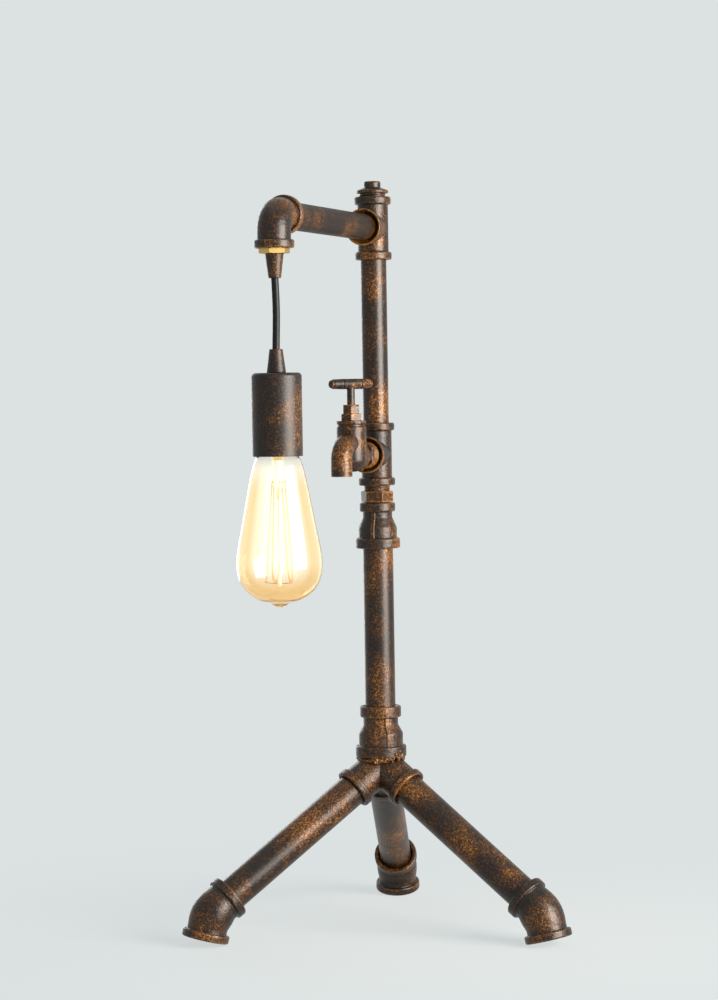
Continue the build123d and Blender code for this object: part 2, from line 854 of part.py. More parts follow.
cap_top = cap_bottom + cap_length
contact_bottom = cap_top + insulator_height
contact_top = contact_bottom + contact_height
with BuildPart() as centre_contact:
    tongue_bottom = contact_top + tongue_gap
    turned(
        pendant_at(0),
        up,
        [
            (tongue_bottom, 0),
            (tongue_bottom, contact_radius),
            (tongue_bottom + tongue_thickness, contact_radius),
            (tongue_bottom + tongue_thickness, terminal_radius - thread_clearance),
            (floor_top + rivet_head, terminal_radius - thread_clearance),
            (floor_top + rivet_head, 0),
        ],
    )
finished("centre_contact", centre_contact.part)

with BuildPart() as terminal_screws:
    for offset in (terminal_offset, -terminal_offset):
        foot = pendant_at(0) + arm_side * offset
        turned(
            foot,
            up,
            [
                (floor_bottom, 0),
                (floor_bottom, terminal_radius),
                (floor_top, terminal_radius),
                (floor_top, terminal_radius + terminal_rim),
                (floor_top + terminal_height, terminal_radius + terminal_rim, terminal_rounding),
                (floor_top + terminal_height, 0),
            ],
        )
finished("terminal_screws", terminal_screws.part)

with BuildPart() as lead_wires:
    wire_top = lower_pivot_height - cord_radius - end_play
    wire_end = floor_top + terminal_height + wire_radius
    for way in (1, -1):
        wire_start = pendant_at(wire_top) + arm_side * (wire_spacing * way)
        wire_corner = pendant_at(wire_end) + arm_side * (wire_spacing * way)
        wire_finish = pendant_at(wire_end) + arm_side * (terminal_offset * way)
        swept((wire_start, wire_corner, wire_finish), wire_radius, wire_bend_radius)
finished("lead_wires", lead_wires.part)

# --- Bulb ---------------------------------------------------------------------------------------
with BuildPart() as bulb_cap:
    turned(
        pendant_at(0),
        up,
        [
            (cap_bottom, bulb_neck_radius + cap_clearance),
            (cap_bottom, cap_radius, cap_mouth_rounding),
            (cap_top - cap_shoulder[0], cap_radius, cap_shoulder[2]),
            (cap_top, cap_radius - cap_shoulder[1], cap_wall),
            (cap_top, 0),
            (cap_top - cap_wall, 0),
            (cap_top - cap_wall, cap_hollow[1]),
            (cap_top - cap_hollow[0], bulb_neck_radius + cap_clearance),
        ],
    )
finished("bulb_cap", bulb_cap.part)

with BuildPart() as bulb_cap_insulator:
    turned(
        pendant_at(0),
        up,
        [(cap_top, 0), (cap_top, insulator_radius), (contact_bottom, contact_radius), (contact_bottom, 0)],
    )
finished("bulb_cap_insulator", bulb_cap_insulator.part)

with BuildPart() as bulb_cap_contact:
    turned(
        pendant_at(0),
        up,
        [
            (contact_bottom, 0),
            (contact_bottom, contact_foot_radius),
            (contact_top, contact_tip_radius),
            (contact_top, 0),
        ],
    )
finished("bulb_cap_contact", bulb_cap_contact.part)


with BuildPart() as bulb_glass:
    neck_end = bulb_neck_height + neck_in_cap
    with BuildSketch(outline_plane(pendant_at(bulb_tip), up)):
        with BuildLine():
            cone = [(bulb_neck_height - depth, radius) for depth, radius in bulb_cone]
            outside = Spline(*bulb_pip, *bulb_dome, *cone, (bulb_neck_height, bulb_neck_radius))
            Polyline(outside @ 1, (neck_end, bulb_neck_radius), (neck_end, 0), (0, 0))
        make_face()
        with BuildLine():
            inner_points = [(glass_wall, 0)]
            for step in range(1, inner_steps):
                inward = (outside % (step / inner_steps)).rotate(Axis.Z, -90)
                inner_points.append(outside @ (step / inner_steps) + inward * glass_wall)
            inner_points.append((bulb_neck_height, bulb_neck_radius - glass_wall))
            inside = Spline(*inner_points)
            Polyline(
                inside @ 1,
                (neck_end, bulb_neck_radius - glass_wall),
                (neck_end, 0),
                (glass_wall, 0),
            )
        make_face(mode=Mode.SUBTRACT)
    revolve(axis=Axis(pendant_at(0), up))
finished("bulb_glass", bulb_glass.part)

with BuildPart() as bulb_stem:
    flare_radius = bulb_neck_radius - glass_wall - glass_clearance
    flare_start, flare_end, flare_rounding = stem_flare
    button_half, button_slope, button_rise = stem_button
    button_radius = stem_rod_radius + button_rise
    stem_outline = [
        (cage_bottom_height - stem_rod_end, 0),
        (cage_bottom_height - stem_rod_end, stem_rod_radius, stem_rounding),
        (stem_button_height - button_half - button_slope, stem_rod_radius),
        (stem_button_height - button_half, button_radius, stem_rounding),
        (stem_button_height + button_half, button_radius, stem_rounding),
        (stem_button_height + button_half + button_slope, stem_rod_radius),
        (stem_button_height + stem_tube_start, stem_tube_radius, stem_tube_rounding),
        (bulb_neck_height - flare_start, stem_tube_radius, flare_rounding),
        (bulb_neck_height + flare_end, flare_radius),
        (bulb_neck_height + flare_end + stem_flare_lip, flare_radius),
        (bulb_neck_height + flare_end + stem_flare_lip, 0),
    ]
    turned(pendant_at(bulb_tip), up, stem_outline)
finished("bulb_stem", bulb_stem.part)


def strand_end(index, height, radius):
    """A point of the filament's cage, counted round the bulb's axis."""
    angle = 2 * pi * index / cage_strands
    return pendant_at(bulb_tip + height) + Vector(radius * cos(angle), radius * sin(angle), 0)


with BuildPart() as bulb_filament:
    for index in range(cage_strands):
        upper_index = index if index % 2 == 0 else index + 1
        lower_index = index + 1 if index % 2 == 0 else index
        strand_top = strand_end(upper_index, stem_button_height, cage_top_radius)
        strand_bottom = strand_end(lower_index, cage_bottom_height, cage_bottom_radius)
        tube_run(strand_top, strand_bottom, filament_radius)
        with Locations(strand_top, strand_bottom):
            Sphere(filament_bead)
finished("bulb_filament", bulb_filament.part)

with BuildPart() as bulb_supports:
    half_count = cage_strands // 2
    for count in range(half_count):
        for index, height, radius, root_radius in (
            (2 * count, stem_button_height, cage_top_radius, button_radius),
            (2 * count + 1, cage_bottom_height, cage_bottom_radius, stem_rod_radius),
        ):
            outer = strand_end(index, height, radius - filament_bead - hook_gap)
            inner = strand_end(index, height, root_radius + support_gap)
            tube_run(inner, outer, support_radius)
finished("bulb_supports", bulb_supports.part)

# --- Tap ----------------------------------------------------------------------------------------
tap_centre = column_at(tap_height) + arm_direction * stem_reach
handle_centre = tap_centre + up * handle_height
stem_hole = tap_stem_radius + running_clearance
with BuildPart() as tap_body:
    groove_top = tap_barrel_rise - tap_lip_height
    groove_bottom = groove_top - tap_groove_height
    hexagon(
        column_at(tap_height) + arm_direction * tap_hex_start,
        arm_direction,
        arm_azimuth + 90,
        tap_hex_flats,
        tap_hex_width,
    )
    turned(
        tap_centre,
        up,
        [
            (-tap_barrel_drop, 0),
            (-tap_barrel_drop, tap_barrel_radius, tap_barrel_rounding),
            (groove_bottom, tap_barrel_radius, tap_groove_rounding),
            (groove_bottom, tap_groove_radius, tap_groove_rounding),
            (groove_top, tap_groove_radius, tap_groove_rounding),
            (groove_top, tap_barrel_radius, tap_groove_rounding),
            (tap_barrel_rise, tap_barrel_radius, tap_lip_rounding),
            (tap_barrel_rise, 0),
        ],
    )
    turned(
        column_at(tap_height),
        arm_direction,
        [
            (tap_thread_end, 0),
            (tap_thread_end, nipple_radius),
            (tap_hex_start, nipple_radius),
            (tap_hex_start, tap_inlet_radius),
            (stem_reach, tap_inlet_radius),
            (stem_reach, 0),
        ],
    )
    spout_mouth = column_at(tap_height - spout_drop) + arm_direction * spout_reach
    spout_bend_point = column_at(tap_height + spout_bend_rise) + arm_direction * spout_reach
    spout_root = tap_centre + up * spout_rise
    swept((spout_root, spout_bend_point, spout_mouth), spout_radius, spout_bend_radius)
    drilled(spout_mouth, up, 0, spout_bore_depth, spout_bore)
    drilled(tap_centre, up, tap_cavity_floor - tap_cavity_sump, tap_barrel_rise, tap_cavity_radius)
    drilled(tap_centre, arm_direction * -1, 0, stem_reach - tap_thread_end, tap_inlet_bore)
finished("tap_body", tap_body.part)

with BuildPart() as tap_bonnet:
    hexagon(tap_centre + up * tap_barrel_rise, up, bonnet_azimuth, bonnet_flats, bonnet_height)
    tube(
        tap_centre,
        up,
        tap_barrel_rise - bonnet_thread_length,
        tap_barrel_rise,
        tap_cavity_radius - thread_clearance,
        stem_hole,
    )
    drilled(tap_centre, up, tap_barrel_rise, tap_barrel_rise + bonnet_height, stem_hole)
    recess_depth = packing_spigot_length + packing_ring_height + end_play
    drilled(
        tap_centre,
        up,
        tap_barrel_rise + bonnet_height - recess_depth,
        tap_barrel_rise + bonnet_height,
        packing_spigot_radius + thread_clearance,
    )
finished("tap_bonnet", tap_bonnet.part)

with BuildPart() as packing_ring:
    ring_bottom = tap_barrel_rise + bonnet_height - recess_depth
    tube(
        tap_centre,
        up,
        ring_bottom,
        ring_bottom + packing_ring_height,
        packing_spigot_radius - thread_clearance,
        stem_hole,
    )
finished("packing_ring", packing_ring.part)

with BuildPart() as packing_nut:
    nut_bottom = tap_barrel_rise + bonnet_height
    hexagon(tap_centre + up * nut_bottom, up, bonnet_azimuth, packing_flats, packing_hex_height)
    flange_bottom = nut_bottom + packing_hex_height
    turned(
        tap_centre,
        up,
        [
            (flange_bottom, 0),
            (flange_bottom, packing_flange_radius, packing_flange_rounding),
            (flange_bottom + packing_flange_height, packing_flange_radius, packing_flange_rounding),
            (flange_bottom + packing_flange_height, 0),
        ],
    )
    tube(
        tap_centre,
        up,
        nut_bottom - packing_spigot_length,
        nut_bottom,
        packing_spigot_radius,
        stem_hole,
    )
    drilled(tap_centre, up, nut_bottom, flange_bottom + packing_flange_height, stem_hole)
finished("packing_nut", packing_nut.part)

# Rotary switch in the tap's body: a housing with a rotor that the stem turns.
switch_bottom = tap_cavity_floor
switch_top = switch_bottom + switch_height
rotor_bottom = switch_bottom + switch_wall + end_play
rotor_top = rotor_bottom + rotor_height
with BuildPart() as rotary_switch:
    turned(
        tap_centre,
        up,
        [
            (switch_bottom, 0),
            (switch_bottom, switch_radius, switch_rounding),
            (switch_top, switch_radius, switch_rounding),
            (switch_top, tap_stem_radius + running_clearance),
            (rotor_top + end_play, tap_stem_radius + running_clearance),
            (rotor_top + end_play, switch_radius - switch_wall),
            (switch_bottom + switch_wall, switch_radius - switch_wall),
            (switch_bottom + switch_wall, 0),
        ],
    )
finished("rotary_switch", rotary_switch.part)

with BuildPart() as switch_rotor:
    turned(
        tap_centre,
        up,
        [
            (rotor_bottom, 0),
            (rotor_bottom, switch_radius - switch_wall - cord_clearance),
            (rotor_top, switch_radius - switch_wall - cord_clearance),
            (rotor_top, 0),
        ],
    )
finished("switch_rotor", switch_rotor.part)

with BuildPart() as tap_handle:
    bar_direction = toward(handle_azimuth)
    groove_radius = handle_radius - handle_groove_depth
    groove_end = handle_groove_at + handle_groove_width
    step_start, step_end, cap_end_radius = handle_cap
    half_bar = [
        (0, 0),
        (0, handle_radius),
        (handle_groove_at, handle_radius, handle_groove_edge),
        (handle_groove_at + handle_groove_edge, groove_radius),
        (groove_end - handle_groove_edge, groove_radius),
        (groove_end, handle_radius, handle_groove_edge),
        (handle_half_length - step_start, handle_radius - handle_groove_edge, handle_cap_rounding),
        (handle_half_length - step_end, cap_end_radius),
        (handle_half_length, cap_end_radius, handle_cap_rounding),
        (handle_half_length, 0),
    ]
    for way in (bar_direction, bar_direction * -1):
        turned(handle_centre, way, half_bar)
    drilled(handle_centre, down, 0, handle_radius + end_play, tap_stem_radius + thread_clearance)
finished("tap_handle", tap_handle.part)

with BuildPart() as tap_stem:
    stem_bottom = rotor_top
    stem_top = handle_height - end_play
    turned(
        tap_centre,
        up,
        [
            (stem_bottom, 0),
            (stem_bottom, tap_stem_radius),
            (stem_top, tap_stem_radius),
            (stem_top, 0),
        ],
    )
finished("tap_stem", tap_stem.part)

# --- Flex inside the pipes ------------------------------------------------------------------------
with BuildPart() as switch_flex:
    flex_start = column_at(tap_height) + arm_direction * (stem_reach - tap_cavity_radius)
    flex_corner = column_at(tap_height)
    flex_finish = column_at(tap_height + flex_split)
    swept((flex_start, flex_corner, flex_finish), cord_radius, flex_bend_radius)
finished("switch_flex", switch_flex.part)

with BuildPart() as arm_flex:
    flex_sag = half_pipe_bore - cord_radius - cord_clearance
    arm_flex_start = column_at(tap_height + flex_split + end_play)
    arm_flex_height = arm_height - flex_sag
    arm_flex_route = (
        arm_flex_start,
        column_at(arm_flex_height),
        pendant_at(arm_flex_height),
        pendant_at(upper_pivot_height + cord_radius + end_play),
    )
    swept(arm_flex_route, cord_radius, flex_bend_radius)
finished("arm_flex", arm_flex.part)
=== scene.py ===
"""Dresses the steam-pipe table lamp: lacquer, threads, weld, flex, lit bulb and its stage."""

import math

import bpy
import numpy as np
from mathutils import Matrix, Vector


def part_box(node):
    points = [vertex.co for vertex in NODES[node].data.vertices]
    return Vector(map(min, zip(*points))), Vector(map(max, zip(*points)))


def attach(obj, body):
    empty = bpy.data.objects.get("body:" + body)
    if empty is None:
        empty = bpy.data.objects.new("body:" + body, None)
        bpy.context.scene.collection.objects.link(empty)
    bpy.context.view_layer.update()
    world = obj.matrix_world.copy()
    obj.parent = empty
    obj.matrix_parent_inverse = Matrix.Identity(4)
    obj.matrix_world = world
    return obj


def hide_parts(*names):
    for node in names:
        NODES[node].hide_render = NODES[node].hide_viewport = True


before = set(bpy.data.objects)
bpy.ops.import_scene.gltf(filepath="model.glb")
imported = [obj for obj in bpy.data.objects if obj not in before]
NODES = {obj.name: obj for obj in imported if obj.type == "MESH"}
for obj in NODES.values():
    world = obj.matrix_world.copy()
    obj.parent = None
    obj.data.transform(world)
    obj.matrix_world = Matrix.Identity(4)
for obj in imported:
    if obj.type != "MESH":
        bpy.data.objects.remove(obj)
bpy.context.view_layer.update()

bl_info = {
    "name": "Steam-pipe table lamp",
    "version": (1, 0, 0),
    "blender": (4, 5, 0),
    "location": "View3D > Sidebar > Pipe lamp",
    "description": "Finishes, threads, weld, flex and bulb for a table lamp built from steam pipe",
    "category": "Object",
}

MM = 0.001
TURN = 2 * math.pi
# between these lie most values of a noise texture
NOISE_LOW, NOISE_HIGH = 0.3, 0.7


def linear(hex_colour):
    """Linear colour for an sRGB hex value such as #8A5429."""
    parts = [int(hex_colour[i : i + 2], 16) / 255 for i in (1, 3, 5)]
    return tuple(p / 12.92 if p <= 0.04045 else ((p + 0.055) / 1.055) ** 2.4 for p in parts)


def middle_of(node):
    """Centre of a CAD node's box."""
    low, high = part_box(node)
    return (low + high) / 2


# --- Settings -----------------------------------------------------------------------------------
class LacquerSettings(bpy.types.PropertyGroup):
    """Antique bronze lacquer: a near-black ground with copper dabbed over it."""

    ground: bpy.props.FloatVectorProperty(
        name="Ground",
        description="Near-black coat under the dabs",
        subtype="COLOR",
        default=linear("#0A0908"),
    )
    umber: bpy.props.FloatVectorProperty(
        name="Umber",
        description="Thin edge of a dab",
        subtype="COLOR",
        default=linear("#22140A"),
    )
    copper: bpy.props.FloatVectorProperty(
        name="Copper",
        description="Body of a dab",
        subtype="COLOR",
        default=linear("#4C2E10"),
    )
    bright: bpy.props.FloatVectorProperty(
        name="Bright copper",
        description="Thickest grains of a dab",
        subtype="COLOR",
        default=linear("#90602E"),
    )
    cloud: bpy.props.FloatProperty(
        name="Cloud",
        description="Width of a dabbed patch",
        unit="LENGTH",
        default=36 * MM,
    )
    grain: bpy.props.FloatProperty(
        name="Grain",
        description="Width of a grain, drawn coarser than the real half millimetre to show",
        unit="LENGTH",
        default=1.4 * MM,
    )


class FittingSettings(bpy.types.PropertyGroup):
    """Threads and weld that show between the fittings."""

    thread_pitch: bpy.props.FloatProperty(
        name="Thread pitch",
        description="Fourteen threads to the inch",
        unit="LENGTH",
        default=25.4 / 14 * MM,
    )
    thread_depth: bpy.props.FloatProperty(
        name="Thread depth",
        description="Height of a thread over the neck",
        unit="LENGTH",
        default=0.5 * MM,
    )
    neck_radius: bpy.props.FloatProperty(
        name="Neck radius",
        description="Plain radius of a half-inch neck",
        unit="LENGTH",
        default=10.4 * MM,
    )
    weld_radius: bpy.props.FloatProperty(
        name="Weld radius",
        description="Radius that the weld bead's section is worked out from",
        unit="LENGTH",
        default=2.4 * MM,
    )


class FlexSettings(bpy.types.PropertyGroup):
    """Round flex between the two grips."""

    radius: bpy.props.FloatProperty(
        name="Radius",
        description="Radius of the sheath",
        unit="LENGTH",
        default=2.8 * MM,
    )
    sheath: bpy.props.FloatVectorProperty(
        name="Sheath",
        description="Black sheath",
        subtype="COLOR",
        default=linear("#0C0D0F"),
    )


class BulbSettings(bpy.types.PropertyGroup):
    """Pear-shaped carbon filament bulb, lit."""

    amber: bpy.props.FloatVectorProperty(
        name="Amber",
        description="Tint of the coat where it is seen slantwise and at the tip",
        subtype="COLOR",
        default=linear("#E2BA7C"),
    )
    straw: bpy.props.FloatVectorProperty(
        name="Straw",
        description="Tint between the two, and at the very rim",
        subtype="COLOR",
        default=linear("#F4DFB8"),
    )
    pale: bpy.props.FloatVectorProperty(
        name="Pale amber",
        description="Tint of the coat where it is seen face on",
        subtype="COLOR",
        default=linear("#FFF8EA"),
    )
    glow: bpy.props.FloatProperty(
        name="Glow",
        description="Light that the filament leaves on the inside of the glass",
        default=0.25,
    )
    strand_radius: bpy.props.FloatProperty(
        name="Strand radius",
        description="Radius of the filament",
        unit="LENGTH",
        default=0.32 * MM,
    )


class StageSettings(bpy.types.PropertyGroup):
    """Pale studio floor, soft lights and the camera."""

    paper: bpy.props.FloatVectorProperty(
        name="Paper",
        description="Pale blue-grey studio paper",
        subtype="COLOR",
        default=linear("#DCE2E2"),
    )
    camera_distance: bpy.props.FloatProperty(
        name="Camera distance",
        description="From the column's axis",
        unit="LENGTH",
        default=2.366,
    )
    camera_height: bpy.props.FloatProperty(
        name="Camera height",
        description="Above the table",
        unit="LENGTH",
        default=0.450,
    )
    camera_side: bpy.props.FloatProperty(
        name="Camera side shift",
        description="To the right of the column's axis",
        unit="LENGTH",
        default=-0.0151,
    )
    pitch: bpy.props.FloatProperty(
        name="Pitch",
        description="How far the camera looks down",
        subtype="ANGLE",
        default=math.radians(2.27),
    )
    roll: bpy.props.FloatProperty(
        name="Roll",
        description="Tilt of the camera about its view",
        subtype="ANGLE",
        default=math.radians(0.93),
    )
    lens: bpy.props.FloatProperty(
        name="Lens",
        description="Focal length for a 36 mm frame, in millimetres",
        default=102.8,
    )


# --- Mesh and material helpers ------------------------------------------------------------------
def grid_faces(rows, columns, closed_rows=False):
    """Four-cornered faces of a grid of points whose columns wrap, and its rows too when closed."""
    row, column = np.meshgrid(
        np.arange(rows if closed_rows else rows - 1), np.arange(columns), indexing="ij"
    )
    next_row, next_column = (row + 1) % rows, (column + 1) % columns
    corners = [(row, column), (row, next_column), (next_row, next_column), (next_row, column)]
    return np.stack([r * columns + c for r, c in corners], axis=-1).reshape(-1, 4)


def smooth_mesh(name, points, faces):
    """Smooth-shaded mesh from an array of points, with any leading shape, and one of faces."""
    mesh = bpy.data.meshes.new(name)
    mesh.from_pydata(points.reshape(-1, 3), [], faces.tolist())
    mesh.polygons.foreach_set("use_smooth", np.ones(len(faces), dtype=bool))
    return mesh


def add_object(name, data):
    """Adds an object to the scene."""
    thing = bpy.data.objects.new(name, data)
    bpy.context.scene.collection.objects.link(thing)
    return thing


def place(name, mesh, body, material):
    """Adds a finished mesh to the scene, on its body and with its finish."""
    piece = add_object(name, mesh)
    piece.data.materials.append(material)
    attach(piece, body)
    return piece


def tube_along(route, radius, sides=8):
    """Round tube along a route (count, 3).

    Each ring is route + radius * (side * cos(angle) + other * sin(angle)), where side and other
    stand square to the route, and side also to one fixed lean that no route here follows. The first
    and last rings are drawn in to a twentieth of the radius."""
    lean = (0.31, 0.87, 0.12)
    route = np.asarray(route, dtype=float)
    ahead = np.gradient(route, axis=0)
    ahead /= np.linalg.norm(ahead, axis=1, keepdims=True)
    side = np.cross(ahead, lean)
    side /= np.linalg.norm(side, axis=1, keepdims=True)
    other = np.cross(ahead, side)
    angle = np.linspace(0, TURN, sides, endpoint=False)[None, :, None]
    width = np.full(len(route), radius)
    width[[0, -1]] = radius * 0.05
    ring = side[:, None] * np.cos(angle) + other[:, None] * np.sin(angle)
    return route[:, None] + ring * width[:, None, None]


def add_node(tree, kind, inputs=None, stops=(), easing="LINEAR", **settings):
    """Adds a node, sets its fields, and fills its inputs with values or links.

    A colour ramp also takes its (position, linear colour) stops and the easing between them."""
    node = tree.nodes.new(kind)
    for name, value in settings.items():
        setattr(node, name, value)
    for name, value in (inputs or {}).items():
        if isinstance(value, bpy.types.NodeSocket):
            tree.links.new(value, node.inputs[name])
        else:
            node.inputs[name].default_value = value
    if stops:
        node.color_ramp.interpolation = easing
        while len(node.color_ramp.elements) < len(stops):
            node.color_ramp.elements.new(0.5)
        for element, (position, colour) in zip(node.color_ramp.elements, stops):
            element.position = position
            element.color = (*colour, 1)
    return node


def empty_tree(owner):
    """Node tree of a new material or world, with nothing in it."""
    owner.use_nodes = True
    owner.node_tree.nodes.clear()
    return owner.node_tree


def new_material(name):
    """New material whose tree holds a Principled shader and the output it is joined to."""
    material = bpy.data.materials.new(name)
    tree = empty_tree(material)
    shader = add_node(tree, "ShaderNodeBsdfPrincipled")
    add_node(tree, "ShaderNodeOutputMaterial", {"Surface": shader.outputs["BSDF"]})
    return material, tree, shader


def finish_nodes(material, names):
    """Gives CAD nodes a finish."""
    for name in names:
        NODES[name].data.materials.clear()
        NODES[name].data.materials.append(material)


# --- Finishes -----------------------------------------------------------------------------------
def antique_bronze(name, skin_width, skin_depth, warmth, wear=0.5, gloss=0.28, specular=0.34):
    """Antique bronze lacquer: sprayed near-black, then dabbed with copper from a dry sponge.

    Soft patches of fine copper grains lie on the dark ground. The dabs catch on the edges and miss
    the recesses, whose near-black is also painted shade, and the semi-gloss coat over both is
    broken up by the grain, so that it glitters in the light. A sand-cast fitting has a lumpy skin
    under it; drawn pipe is nearly smooth.

    skin_width and skin_depth are the lumps' size, warmth moves the dabs over more of the ground,
    wear is how much they thicken on an edge, and gloss and specular are the coat's lowest
    roughness and its specular level."""
    lacquer = bpy.context.scene.pipe_lamp_lacquer
    fleck = 2.6 * lacquer.grain
    edge_reach, hollow_shade_reach = 1.6 * MM, 7 * MM
    edge_rounding, glitter_height = 1.0 * MM, 0.13 * MM
    gloss_spread = 0.14
    material, tree, shader = new_material(name)
    place_on = add_node(tree, "ShaderNodeTexCoord").outputs["Object"]
    clouds, flecks, grains, skin = (
        add_node(
            tree,
            "ShaderNodeTexNoise",
            {"Vector": place_on, "Scale": 1 / width, "Detail": detail, "Roughness": roughness},
        ).outputs["Fac"]
        for width, detail, roughness in (
            (lacquer.cloud, 3.0, 0.5),
            (fleck, 3.0, 0.6),
            (lacquer.grain, 2.0, 0.8),
            (skin_width, 3.0, 0.55),
        )
    )
    # occlusion inside the metal finds its edges, and outside it the recesses, darkened as painted
    # shade
    edges, painted_hollow_shade = (
        add_node(
            tree,
            "ShaderNodeAmbientOcclusion",
            {"Distance": reach},
            samples=4,
            inside=inside,
            only_local=True,
        ).outputs["AO"]
        for reach, inside in ((edge_reach, True), (hollow_shade_reach, False))
    )
    # each source, the range that counts, and what it adds to the dabs at both ends of that range
    dabs = 0.0
    for source, low, high, least, most in (
        (clouds, 0.4 - warmth, 0.66 - warmth, 0.08, 0.6),
        (flecks, 0.35, 0.65, -0.08, 0.08),
        (grains, 0.36, 0.64, -0.4, 0.42),
        (edges, 0.9, 0.5, 0.0, wear),
        # recesses lose their dabs down to the near-black ground: painted shade
        (painted_hollow_shade, 0.92, 0.4, 0.0, -0.7),
    ):
        share = add_node(
            tree,
            "ShaderNodeMapRange",
            {"Value": source, "From Min": low, "From Max": high, "To Min": least, "To Max": most},
        ).outputs["Result"]
        dabs = add_node(
            tree, "ShaderNodeMath", {0: dabs, 1: share}, operation="ADD"
        ).outputs["Value"]
    colour = add_node(
        tree,
        "ShaderNodeValToRGB",
        {"Fac": dabs},
        stops=(
            (0.05, lacquer.ground),
            (0.3, lacquer.umber),
            (0.62, lacquer.copper),
            (1.0, lacquer.bright),
        ),
    ).outputs["Color"]
    # thick dabs turn a little metallic, and the grain breaks up the gloss
    metal, rough = (
        add_node(
            tree,
            "ShaderNodeMapRange",
            {"Value": source, "From Min": low, "From Max": high, "To Min": least, "To Max": most},
        ).outputs["Result"]
        for source, low, high, least, most in (
            (dabs, 0.1, 0.9, 0.0, 0.3),
            (grains, NOISE_LOW, NOISE_HIGH, gloss, gloss + gloss_spread),
        )
    )
    normal = add_node(
        tree, "ShaderNodeBevel", {"Radius": edge_rounding}, samples=4
    ).outputs["Normal"]
    for height, depth in ((skin, skin_depth), (grains, glitter_height)):
        normal = add_node(
            tree,
            "ShaderNodeBump",
            {"Strength": 1.0, "Distance": depth, "Height": height, "Normal": normal},
        ).outputs["Normal"]
    for socket, source in (
        ("Base Color", colour),
        ("Metallic", metal),
        ("Roughness", rough),
        ("Normal", normal),
    ):
        tree.links.new(source, shader.inputs[socket])
    shader.inputs["Specular IOR Level"].default_value = specular
    return material


def plain_finish(
    name, colour, metallic, roughness, grain_width, grain_depth, variation=0.15, specular=0.5
):
    """Finish in one linear colour, whose tone and gloss vary with a fine grain.

    Turned brass, moulded phenolic, glazed porcelain and rubber all start from this: the grain's
    width and depth say how the surface was made, and variation is the share by which its tone
    varies."""
    smoothest, roughest = 0.8 * roughness, 1.25 * roughness
    material, tree, shader = new_material(name)
    place_on = add_node(tree, "ShaderNodeTexCoord").outputs["Object"]
    grain = add_node(
        tree,
        "ShaderNodeTexNoise",
        {"Vector": place_on, "Scale": 1 / grain_width, "Detail": 3.0, "Roughness": 0.6},
    ).outputs["Fac"]
    darker = [part * (1 - variation) for part in colour]
    lighter = [min(1.0, part * (1 + variation)) for part in colour]
    tone = add_node(
        tree,
        "ShaderNodeValToRGB",
        {"Fac": grain},
        stops=((NOISE_LOW, darker), (NOISE_HIGH, lighter)),
    )
    gloss = add_node(
        tree, "ShaderNodeMapRange", {"Value": grain, "To Min": smoothest, "To Max": roughest}
    )
    relief = add_node(
        tree, "ShaderNodeBump", {"Strength": 1.0, "Distance": grain_depth, "Height": grain}
    )
    tree.links.new(tone.outputs["Color"], shader.inputs["Base Color"])
    tree.links.new(gloss.outputs["Result"], shader.inputs["Roughness"])
    tree.links.new(relief.outputs["Normal"], shader.inputs["Normal"])
    shader.inputs["Metallic"].default_value = metallic
    shader.inputs["Specular IOR Level"].default_value = specular
    return material


